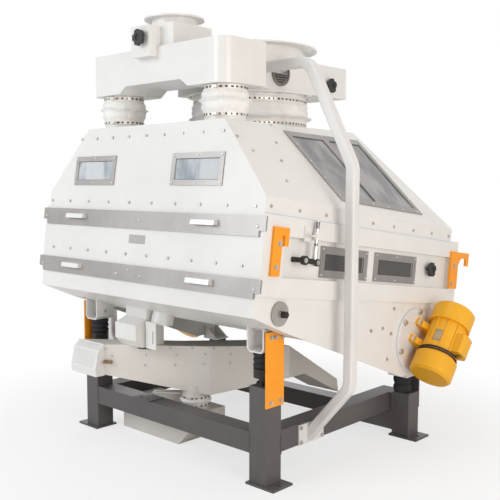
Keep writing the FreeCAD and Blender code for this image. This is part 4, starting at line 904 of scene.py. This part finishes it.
@dataclass
class FastenerRow:
    """Like fasteners on one body, laid by Geometry Nodes on their seats.

    Attributes:
        name: Piece name.
        body: CAD body that carries them.
        head: Kind of head.
        radius: Head radius, in mm.
        height: Head height, in mm.
        washer: Washer radius, in mm, or 0 for none.
        seats: Point on the surface, in mm, and outward direction of each.
    """

    name: str
    body: str
    head: Head
    radius: float
    height: float
    washer: float = 0.0
    seats: list[tuple[Vector, Vector]] = field(default_factory=list)

    def add(self, place: Vector, facing: Vector) -> None:
        """Adds a seat."""
        self.seats.append((place, facing))

    def pair(self, place: Vector, facing: Vector = RIGHT) -> None:
        """Adds a seat and its mirror image."""
        self.seats += [(place, facing), (mirrored(place), mirrored(facing))]

    def heads(self, laying: Laying) -> Socket:
        """Adds the nodes that set a head on every seat, turned by chance about its own axis.

        Args:
            laying: The tree being built.

        Returns:
            The socket with the heads.
        """
        given = laying.given
        sides, top = self.head.value
        head = laying.add("GeometryNodeMeshCone", {
            "Vertices": sides, "Radius Top": laying.sums("MULTIPLY", given["Head radius"], top),
            "Radius Bottom": given["Head radius"], "Depth": given["Head height"]})
        rise = laying.add("ShaderNodeCombineXYZ", {"Z": laying.sums("MULTIPLY", given["Head height"], 0.18)})
        parts = [laying.add("GeometryNodeTransform", {"Geometry": head.outputs["Mesh"],
                                                      "Translation": rise.outputs["Vector"]}).outputs["Geometry"]]
        if self.washer:
            parts.append(laying.add("GeometryNodeMeshCylinder", {
                "Vertices": 24, "Radius": given["Washer radius"],
                "Depth": laying.sums("MULTIPLY", given["Head height"], 0.4)}).outputs["Mesh"])
        aim = laying.add("FunctionNodeAlignRotationToVector", {"Vector": laying.read("facing")}, axis="Z")
        chance = laying.add("FunctionNodeRandomValue", {"Max": 2 * math.pi, "Seed": 7}, data_type="FLOAT")
        spin = laying.add("FunctionNodeAxisAngleToRotation", {"Axis": (0, 0, 1), "Angle": chance.outputs[1]})
        turn = laying.add("FunctionNodeRotateRotation", {"Rotation": aim.outputs["Rotation"],
                                                         "Rotate By": spin.outputs["Rotation"]},
                          rotation_space="LOCAL")
        thing = laying.add("GeometryNodeJoinGeometry", {"Geometry": parts})
        return laying.scatter(thing.outputs["Geometry"], turn.outputs["Rotation"], (1, 1, 1))

    def build(self, finish: Finish = Palette.BOLT, slot: str = "zinc_steel") -> Piece:
        """Lays the fasteners and makes them one plain mesh.

        Args:
            finish: Their finish.
            slot: Name of a material slot; not used.

        Returns:
            The piece.
        """
        places, ways = zip(*self.seats)
        laying = Laying(self.name + "_tree", {"Head radius": "Float", "Head height": "Float",
                                              "Washer radius": "Float", "Finish": "Material"})
        plain = laying.run(marked_points(places, {"facing": ways}), self.heads(laying), {
            "Head radius": self.radius * MM, "Head height": self.height * MM, "Washer radius": self.washer * MM,
            "Finish": finish.material()})
        return new_piece(self.name, plain, finish, self.body)


def hood_front(x: float, rise: float) -> Vector:
    """Returns the point on the hood's front face at a distance up its slope, in mm."""
    low = deck(0, HOOD_FRONT_U, HOOD_LOW_V)
    spot = low + (HOOD_TOP_EDGE - low).normalized() * rise
    return Vector((x, spot.y, spot.z))


def hood_front_way() -> Vector:
    """Returns the outward direction of the hood's front face."""
    slope = hood_front(0, 1) - hood_front(0, 0)
    return Vector((0, -slope.z, slope.y))


def hood_side(y: float, z: float) -> tuple[Vector, Vector]:
    """Finds a point on the hood's right side face.

    Args:
        y: Its Y, in mm.
        z: Its Z, in mm.

    Returns:
        The point and the face's outward direction.
    """
    front = deck(HOOD_SIDE_X, HOOD_FRONT_U, HOOD_LOW_V)
    rear = deck(HOOD_SIDE_X, HOOD_REAR_U, HOOD_LOW_V)
    normal = (rear - front).cross(HOOD_TOP_CORNER - front).normalized()
    x = front.x - (normal.y * (y - front.y) + normal.z * (z - front.z)) / normal.x
    return Vector((x, y, z)), normal


@dataclass
class BodyFasteners:
    """Bolts and screws on the vibrating body.

    Attributes:
        wall: X of the lower side walls, in mm.
        recess: X of the recess windows' frames, in mm.
        bolt: Radius of the common bolt head, in mm.
        frame_rise: Thickness of the hood windows' frames, in mm.
        pane_middle: Y and Z of the side pane's middle, in mm.
        disc: Y, Z and bolt circle radius of each motor's disc, in mm.
    """

    wall: float = 772.0
    recess: float = 765.0
    bolt: float = 6.5
    frame_rise: float = 5.0
    pane_middle: Pair = (200.0, 1395.0)
    disc: Point = (470.0, 530.0, 148.0)

    def row(self, name: str, head: Head = Head.HEX, radius: float = 0.0, washer: float = 1.3) -> FastenerRow:
        """Starts a row of like fasteners.

        Args:
            name: Piece name.
            head: Kind of head.
            radius: Head radius in mm, or 0 for the common one.
            washer: Washer radius as a share of the head's, or 0 for none.

        Returns:
            The empty row.
        """
        size = radius or self.bolt
        return FastenerRow(name, "vibrating_body", head, size, size * 0.75, size * washer)

    def build(self) -> None:
        """Lays every row on the vibrating body."""
        self._hood()
        self._panels()
        self._windows()
        self._side_fittings()
        self._motors()
        self._trough()

    def _hood(self) -> None:
        """Lays the hood's bolts on its front, band and sides."""
        row = self.row("hood_bolts")
        for x in evenly(-541, 496, 9):
            row.add(hood_front(x, 276), hood_front_way())
        for x in evenly(-755, 726, 10):
            row.add(deck(x, HOOD_FRONT_U, 1145), deck_way(-1, 0))
        for y, z in ((-627, 1537), (-579, 1475), (-301, 1607), (-357, 1520), (-412, 1436), (-473, 1348)):
            row.pair(*hood_side(y, z))
        for u in evenly(-812, 668, 9):
            row.pair(deck(HOOD_SIDE_X, u, 1150))
        for x in evenly(-700, 700, 8):
            row.add(deck(x, HOOD_REAR_U, 1150), deck_way(1, 0))
        row.build()

    def _panels(self) -> None:
        """Lays the front wall's bolt row, the tray covers' screws and the rear wall's bolts."""
        row = self.row("panel_bolts")
        for x in evenly(-695, 686, 10):
            row.add(deck(x, WALL_FRONT_U, 898), deck_way(-1, 0))
        row.build()
        walls = self.row("wall_bolts", radius=7.5)
        for y, z in ((285, 714), (83, 629), (184, 628), (260, 590), (228, 465)):
            walls.pair(Vector((self.wall, y, z)))
        for x in evenly(-680, 680, 9):
            for v in (1080, 830):
                walls.add(deck(x, 768, v), deck_way(1, 0))
        walls.build()
        for name, spots in (("upper", ((-775, 1062), (10, 1062), (760, 1062))),
                            ("lower", ((-770, 808), (-132, 800), (-39, 826), (50, 800), (770, 808)))):
            screws = FastenerRow(name + "_cover_screws", name + "_screen_tray", Head.PAN, 7, 4)
            for x, v in spots:
                screws.add(deck(x, COVER_FACE_U, v), deck_way(-1, 0))
            screws.build()

    def _windows(self) -> None:
        """Lays the window frames' screws: on the hood's front, in the recesses and on the hood's sides."""
        row = self.row("window_screws", Head.PAN, 5, 0)
        out = hood_front_way()
        for left, right in ((-554, -244), (199, 509)):
            for x in (left, (left + right) / 2, right):
                for rise in (50, 172):
                    row.add(hood_front(x, rise) + out * self.frame_rise, out)
        for start, end in ((-439, -68), (-10, 377)):
            for share in (0.04, 0.5, 0.96):
                for v in (886, 1003):
                    row.pair(deck(self.recess, start + (end - start) * share, v))
        corners = ((-230, 1583), (465, 1568), (606, 1173), (-125, 1258))
        for first, after, count in zip(corners, corners[1:] + corners[:1], (5, 4, 5, 4)):
            for step in range(count):
                share = (step + 0.25) / count
                y = first[0] + (after[0] - first[0]) * share
                z = first[1] + (after[1] - first[1]) * share
                y += (self.pane_middle[0] - y) * 0.032
                z += (self.pane_middle[1] - z) * 0.04
                place, normal = hood_side(y, z)
                row.pair(place + normal * self.frame_rise, normal)
        row.build(Palette.PALE, "stainless")

    def _side_fittings(self) -> None:
        """Lays the bolts of the hooks, the clamps and the brackets over the springs."""
        row = self.row("hook_bolts", radius=9)
        for u, v in ((-766, 1002), (-776, 904), (720, 990), (699, 891)):
            row.pair(deck(802, u, v))
        row.build()
        studs = FastenerRow("clamp_studs", "vibrating_body", Head.HEX, 15.5, 30)
        studs.pair(deck(self.wall + 8, -696, 711))
        studs.build(Palette.DARK, "black_plastic")
        brackets = self.row("bracket_bolts", radius=8)
        for y in (-535, -475):
            brackets.pair(Vector((655, y, 640)))
        brackets.pair(Vector((555, -505, 645)), Vector((-1, 0, 0)))
        brackets.build()

    def _motors(self) -> None:
        """Lays the motors' foot bolts, disc bolts and terminal box screws."""
        feet = self.row("motor_foot_bolts", radius=15)
        for y in (-94, 94):
            for z in (-49, 49):
                feet.pair(motor_place(Vector((-109, y, z))))
        feet.build(Palette.ZINC)
        discs = self.row("motor_disc_bolts", radius=12.5)
        y, z, reach = self.disc
        for turn in range(75, 435, 60):
            angle = math.radians(turn)
            discs.pair(Vector((790, y + reach * math.cos(angle), z + reach * math.sin(angle))))
        discs.build(Palette.ZINC)
        lids = self.row("terminal_box_screws", Head.PAN, 4, 0)
        for y in (-18, 18):
            for z in (-48, 34):
                lids.pair(motor_place(Vector((140, y, z))))
        lids.build()

    def _trough(self) -> None:
        """Lays the bolts, by X and Z, on the trough's two slanting faces."""
        row = self.row("trough_bolts", radius=5.5)
        for x0, y0, x1, y1, spots in (
                (-384, -640, 50, -300, ((-379, 483), (-353, 447), (-196, 487), (-111, 495), (-22, 495),
                                        (-211, 454),
                                        (-86, 457), (31, 465), (-216, 400), (-92, 406), (25, 414))),
                (50, -300, 330, 0, ((64, 495), (111, 495), (176, 495), (123, 466), (120, 420)))):
            out = Vector((y1 - y0, x0 - x1, 0)).normalized()
            for x, z in spots:
                row.add(Vector((x, y0 + (x - x0) * (y1 - y0) / (x1 - x0), z)), out)
        row.build()


@dataclass
class FrameFasteners:
    """Bolts of the base frame, the posts and the fixed ducts.

    Attributes:
        plate: X of the transport plates' outer face, in mm.
        foot: X of the posts' foot plates, in mm.
        flange: Bolt circle radius and height of the main duct's flange, in mm.
        count: Bolts round the flange.
    """

    plate: float = 673.0
    foot: float = 651.0
    flange: Pair = (317.0, 1792.0)
    count: int = 10

    def build(self) -> None:
        """Lays every row on the fixed frame."""
        row = FastenerRow("frame_bolts", "frame", Head.HEX, 8, 7, 11)
        for y, z in ((-530, 672), (-501, 671), (-457, 667), (-532, 381), (-469, 384)):
            row.pair(Vector((self.plate, y, z)))
        for y in (-295, -139):
            for z in (142, 210):
                row.pair(Vector((self.foot, y, z)))
        row.build()
        flange = FastenerRow("flange_bolts", "frame", Head.HEX, 7, 5)
        x, y = MAIN_AXIS
        reach, height = self.flange
        for step in range(self.count):
            angle = 2 * math.pi * (step + 0.5) / self.count
            flange.add(Vector((x + reach * math.cos(angle), y + reach * math.sin(angle), height)),
                       Vector((0, 0, -1)))
        flange.build()


# Small trim


@dataclass
class PullGrip:
    """Bright folded grip over each strip's two finger pulls.

    Attributes:
        tray: Body that carries the strip.
        level: Height of the pull's middle square to the deck, in mm.
        places: X of each pull, in mm.
        half: Half of a pull's width, in mm.
        nose: Outside of the fold in U and V from the pull's middle, in mm.
    """

    tray: str
    level: float
    places: Pair = (-490.0, 456.0)
    half: float = 72.6
    nose: tuple[Pair, ...] = ((0.0, 14.6), (-9.0, 12.6), (-17.0, 10.8), (-21.8, 9.0), (-23.4, 4.0),
                              (-24.2, -4.0), (-24.6, -12.2))

    def build(self) -> None:
        """Folds the grips and lets them ride on the tray."""
        outline = [*self.nose, *((u + 0.9, v - 0.9) for u, v in reversed(self.nose))]
        parts = []
        for x in self.places:
            corners = [deck(x - self.half, COVER_FACE_U + u, self.level + v) for u, v in outline]
            parts.append(slab(corners, RIGHT, 2 * self.half))
            for side in (-1, 1):
                cheek = [deck(x + side * self.half, COVER_FACE_U + u, self.level + v)
                         for u, v in (*self.nose, (0.0, -12.2))]
                parts.append(slab(cheek, RIGHT * side, 0.8))
        new_piece(self.tray + "_grips", joined(parts), Palette.POLISHED, self.tray)


@dataclass
class BandSlots:
    """Dark worm slots round the sleeves' clamp bands, laid by Geometry Nodes.

    Attributes:
        body: Body that carries the bands.
        rings: X, Y and outer radius of each band with its middle height, in mm.
        pitch: Distance between slots, in mm.
        size: Depth, length and height of a slot's shade, in mm.
    """

    body: str
    rings: Sequence[tuple[float, float, float, float]]
    pitch: float = 25.0
    size: Point = (0.7, 10.0, 9.0)

    def build(self) -> None:
        """Lays the slots round every band."""
        spots, turns, widths = [], [], []
        for x, y, radius, height in self.rings:
            count = int(2 * math.pi * radius / self.pitch)
            for step in range(count):
                shake = noise.noise(Vector((step * 1.37, height, x)))
                angle = 2 * math.pi * (step + 0.35 * shake) / count
                spots.append(Vector((x + radius * math.cos(angle), y + radius * math.sin(angle), height)))
                turns.append((0, 0, angle))
                widths.append((1, 1 + 1.1 * shake, 1))
        laying = Laying(self.body + "_band_slots", {"Finish": "Material"})
        block = laying.add("GeometryNodeMeshCube", {"Size": tuple(side * MM for side in self.size)})
        made = laying.scatter(block.outputs["Mesh"], laying.read("turn"), laying.read("wide"))
        plain = laying.run(marked_points(spots, {"turn": turns, "wide": widths}), made,
                           {"Finish": Palette.SLOT.material()})
        new_piece(self.body + "_band_slots", plain, Palette.SLOT, self.body)


@dataclass
class RodThreads:
    """Screw thread on each adjusting rod, above and below its bracket.

    Attributes:
        x: X of the rod, in mm.
        along: Deck place of the rod, in mm.
        radius: Outer radius, in mm.
        depth: Depth of the thread, in mm.
        spans: Lower and upper end of each threaded length square to the deck, in mm.
        pitch: Pitch of the thread, in mm.
    """

    x: float = 812.0
    along: float = -540.0
    radius: float = 8.9
    depth: float = 1.2
    spans: tuple[Pair, ...] = ((1008.0, 1020.0), (1083.0, 1114.0))
    pitch: float = 3.0

    def build(self) -> None:
        """Turns the threads and lets them ride on the rods."""
        lengths = []
        root = self.radius - self.depth
        for low, high in self.spans:
            count = int((high - low) / self.pitch)
            profile = [(0.1, 0.0)]
            for step in range(count):
                profile += [(root, step * self.pitch + 0.1), (self.radius, (step + 0.5) * self.pitch)]
            profile += [(root, count * self.pitch), (0.1, count * self.pitch + 0.1)]
            mesh = turned(profile, (0, 0), 20)
            for corner in mesh.vertices:
                spot = corner.co / MM
                corner.co = deck(self.x + spot.x, self.along + spot.y, low + spot.z) * MM
            lengths.append(mesh)
        right = joined(lengths)
        new_piece("rod_thread_right", right, Palette.PLASTIC, "threaded_rod_right")
        new_piece("rod_thread_left", flipped(right), Palette.PLASTIC, "threaded_rod_left")


@dataclass
class Trim:
    """Bare plates, seals, pressed panels, lever washers and weld beads.

    Attributes:
        tag: Turn of the motor plate's middle in degrees, its radius, low end and high end in mm.
        seal: Width and height of the seal, in mm.
        cover: Y and Z of the end cover's upper edge, in mm.
        cover_sides: X of the pressed panels' sides, in mm.
        bead: Radius of a weld bead, in mm.
    """

    tag: tuple[float, float, float, float] = (-83.0, 93.2, -34.0, 30.0)
    seal: Pair = (4.0, 4.0)
    cover: Pair = (-640.5, 504.0)
    cover_sides: Pair = (-588.0, -396.0)
    bead: float = 2.6

    def build(self) -> None:
        """Makes every small piece."""
        self._plates()
        self._seal()
        self._cover_panels()
        self._washers()
        self._welds()

    def _plates(self) -> None:
        """Makes the bare plate on the front wall and those bent round the motors."""
        corners = [deck(x, WALL_FRONT_U, v) for x, v in ((-67, 951), (53, 951), (53, 992), (-67, 992))]
        new_piece("bare_front_plate", slab(corners, deck_way(-1, 0), 1.0), Palette.STAINLESS, "vibrating_body")
        turn, radius, low, high = self.tag
        ways = []
        for step in range(-12, 13, 4):
            angle = math.radians(turn + step)
            ways.append(Vector((math.cos(angle), math.sin(angle), 0)) * radius)
        spots = [motor_place(way + Vector((0, 0, end))) * MM for end in (low, high) for way in ways]
        count = len(ways)
        faces = [(step, step + 1, count + step + 1, count + step) for step in range(count - 1)]
        piece = new_piece("bare_motor_plates", paired(plain_mesh("motor_plate", spots, (), faces)), Palette.TAG,
                          "vibrating_body", smooth=True)
        thicken(piece, 0.9)

    def _seal(self) -> None:
        """Makes the pale seal under the hood's band, on both sides and behind."""
        wide, high = self.seal
        x, front, rear = HOOD_SIDE_X, HOOD_FRONT_U, HOOD_REAR_U
        side = [(x, front), (x + wide, front), (x + wide, rear + wide), (x, rear + wide)]
        back = [(-x, rear), (x, rear), (x, rear + wide), (-x, rear + wide)]
        right, behind = (slab([deck(*spot, v) for spot in spots], deck_way(0, 1), high)
                         for spots, v in ((side, 1117.2), (back, 1123.2)))
        new_piece("hood_seal", joined([right, flipped(right), behind]), Palette.SEAL, "vibrating_body")

    def _cover_panels(self) -> None:
        """Presses two raised panels into the trough's end cover."""
        faces = (((0.0, 0.0), (37.0, 28.0), 0.2, 0.9), ((37.0, 28.0), (58.0, 122.0), 0.1, 0.92))
        y, z = self.cover
        left, right = self.cover_sides
        parts = []
        for (reach0, drop0), (reach1, drop1), start, end in faces:
            first, last = Vector((0, y - reach0, z - drop0)), Vector((0, y - reach1, z - drop1))
            way = last - first
            low, high = first + way * start, first + way * end
            corners = [Vector((x, spot.y, spot.z)) for x, spot in ((left, low), (right, low), (right, high),
                                                                   (left, high))]
            parts.append(slab(corners, Vector((0, way.z, -way.y)).normalized(), 2.2, 7))
        new_piece("end_cover_panels", joined(parts), Palette.POST, "end_cover")

    def _washers(self) -> None:
        """Lays a zinc washer on the lever's boss and one on its pin."""
        for side, name in ((1, "right"), (-1, "left")):
            row = FastenerRow("lever_washers_" + name, "lever_arm_" + name, Head.HEX, 7, 5, 11)
            for u, v in ((-625, 943), (-540, 938)):
                row.add(deck(side * 833, u, v), Vector((side, 0, 0)))
            row.build()

    def _welds(self) -> None:
        """Lays the weld beads where the front and side beams meet the legs."""
        beads = []
        for first, last in (((565, -555.6, 142), (565, -555.6, 233)), ((666, -454.5, 132), (666, -454.5, 228)),
                            ((664, 454.5, 132), (664, 454.5, 228))):
            route = []
            for share in evenly(0, 1, 24):
                spot = Vector(first).lerp(Vector(last), share)
                shake = noise.noise(spot * 0.09) * 0.9
                route.append(spot + Vector((shake, shake, 0)))
            beads.append(swept_line(route, self.bead, 8))
        new_piece("frame_welds", paired(joined(beads)), Palette.FRAME, "frame", smooth=True)


# Studio


@dataclass
class Studio:
    """White floor and backdrop, soft lamps and the camera at the photograph's viewpoint.

    Attributes:
        place: Camera place, in metres.
        azimuth: Camera's turn about Z, in degrees.
        pitch: Downward tilt, in degrees.
        roll: Turn about the view, in degrees.
        lens: Focal length, in mm.
        sensor: Sensor width, in mm.
        near_glow: Share of white glow in the floor that the camera sees near the machine.
        glow_reach: Distances between which the floor turns all white, in metres.
        floor_reach: Half of the floor's side, in metres.
        floor_grey: Colour of the matt floor.
        sky: Colour of the world's soft light.
        sky_power: Its strength.
    """

    place: Point = (2.831, -2.986, 1.333)
    azimuth: float = 42.96
    pitch: float = 4.90
    roll: float = 0.12
    lens: float = 55.07
    sensor: float = 36.0
    near_glow: float = 0.68
    glow_reach: Pair = (1.15, 2.2)
    floor_reach: float = 16.0
    floor_grey: Colour = (0.88, 0.88, 0.88)
    sky: Colour = (1.0, 0.965, 0.935)
    sky_power: float = 0.5

    def build(self) -> None:
        """Makes the floor, the world, the lamps and the camera."""
        self._floor()
        self._world()
        self._lamp("key_lamp", (-1.9, -5.3, 3.0), 1.1, 3.2, 140, (0.89, 0.955, 1.0))
        self._lamp("side_lamp", (5.4, -1.5, 1.5), 1.0, 2.8, 114, (1.0, 0.935, 0.85))
        self._lamp("top_lamp", (0.5, 0.5, 5.6), 0.8, 4.0, 48, (1.0, 1.0, 1.0))
        self._lamp("rear_lamp", (-4.2, 4.2, 3.2), 1.0, 3.0, 60, (1.0, 1.0, 1.0))
        self._camera()

    def _floor(self) -> None:
        """Makes the pale floor, which keeps the shadow and fades into the white around it."""
        reach = self.floor_reach
        mesh = plain_mesh("studio_floor", [(-reach, -reach, 0), (reach, -reach, 0), (reach, reach, 0),
                                           (-reach, reach, 0)], (), [(0, 1, 2, 3)])
        floor = bpy.data.objects.new("studio_floor", mesh)
        bpy.context.scene.collection.objects.link(floor)
        made = bpy.data.materials.new("studio_floor_white")
        made.use_nodes = True
        wiring = Wiring(made.node_tree)
        place = wiring.add("ShaderNodeTexCoord").outputs["Object"]
        far = wiring.add("ShaderNodeVectorMath", {0: place}, operation="LENGTH").outputs["Value"]
        start, end = self.glow_reach
        share = wiring.add("ShaderNodeMapRange", {"Value": far, "From Min": start, "From Max": end,
                                                  "To Min": self.near_glow}, interpolation_type="SMOOTHSTEP")
        path = wiring.add("ShaderNodeLightPath").outputs
        seen = wiring.sums("MULTIPLY", share.outputs["Result"], path["Is Camera Ray"])
        wiring.show("ShaderNodeOutputMaterial", seen,
                    wiring.add("ShaderNodeBsdfDiffuse", {"Color": (*self.floor_grey, 1)}),
                    wiring.add("ShaderNodeEmission", {"Color": (1, 1, 1, 1)}))
        mesh.materials.append(made)

    def _world(self) -> None:
        """Makes a world that lights softly and shows white to the camera, gloss and glass."""
        world = bpy.data.worlds.new("studio_world")
        bpy.context.scene.world = world
        world.use_nodes = True
        wiring = Wiring(world.node_tree)
        path = wiring.add("ShaderNodeLightPath").outputs
        share = path["Is Camera Ray"]
        for kind in ("Is Transmission Ray", "Is Glossy Ray"):
            share = wiring.sums("MAXIMUM", share, path[kind])
        soft, white = (wiring.add("ShaderNodeBackground", {"Color": (*colour, 1), "Strength": power})
                       for colour, power in ((self.sky, self.sky_power), ((1, 1, 1), 1.0)))
        wiring.show("ShaderNodeOutputWorld", share, soft, white)

    def _lamp(self, name: str, place: Point, aim: float, size: float, power: float, colour: Colour) -> None:
        """Adds a square soft lamp.

        Args:
            name: Lamp name.
            place: Its place, in metres.
            aim: Height on the machine's axis that it faces, in metres.
            size: Side, in metres.
            power: Power, in watts.
            colour: Light colour.
        """
        light = bpy.data.lights.new(name, "AREA")
        light.size = size
        light.energy = power
        light.color = colour
        lamp = bpy.data.objects.new(name, light)
        lamp.location = place
        lamp.rotation_euler = (Vector((0, 0, aim)) - Vector(place)).to_track_quat("-Z", "Y").to_euler()
        bpy.context.scene.collection.objects.link(lamp)

    def _camera(self) -> None:
        """Sets the camera at the photograph's viewpoint."""
        data = bpy.data.cameras.new("photo_camera")
        data.sensor_width = self.sensor
        data.lens = self.lens
        data.clip_end = 60
        camera = bpy.data.objects.new("photo_camera", data)
        turn, tilt, roll = (Matrix.Rotation(math.radians(angle), 4, axis) for angle, axis in (
            (self.azimuth, "Z"), (90 - self.pitch, "X"), (self.roll, "Z")))
        camera.matrix_world = Matrix.Translation(self.place) @ turn @ tilt @ roll
        bpy.context.scene.collection.objects.link(camera)
        bpy.context.scene.camera = camera
        bpy.context.scene.view_settings.view_transform = "Standard"


def main() -> None:
    """Builds every piece of the scene."""
    logging.basicConfig(level=logging.INFO, format="%(name)s: %(message)s")
    dress_nodes()
    RubberSpring("front_springs", (605, -505), 525, 599.6, 47, 3).build()
    RubberSpring("rear_springs", (704, 490), 238, 329.6, 48, 2).build()
    ClothSleeve("feed_sleeves", FEED_AXES, 96, 1634, 1774, 16,
                ((0.24, 0.2, 9), (0.8, 0.19, 9), (0.52, 0.07, 24)), 1.7).build()
    ClothSleeve("main_sleeve", (MAIN_AXIS,), 298, 1634, 1774, 16,
                ((0.54, 0.17, 10), (0.84, 0.14, 8), (0.24, 0.065, 30)), 5.1, steps=288).build()
    ClothSleeve("outlet_sleeve", (OUTLET_AXIS,), 72, 186, 240, 14, ((0.5, 0.42, 9),), 9.4,
                above="vibrating_body", below="frame").build()
    MotorCable().build()
    for body, upper, outlet in (("frame", 1762, 193), ("vibrating_body", 1643, 233)):
        rings = [(*axis, radius, upper) for axis, radius in zip((*FEED_AXES, MAIN_AXIS), (101, 101, 303))]
        BandSlots(body, [*rings, (*OUTLET_AXIS, 77, outlet)]).build()
    PullGrip("upper_screen_tray", 1068).build()
    PullGrip("lower_screen_tray", 814.5).build()
    RodThreads().build()
    BodyFasteners().build()
    FrameFasteners().build()
    Trim().build()
    Studio().build()


if __name__ == "__main__":
    main()
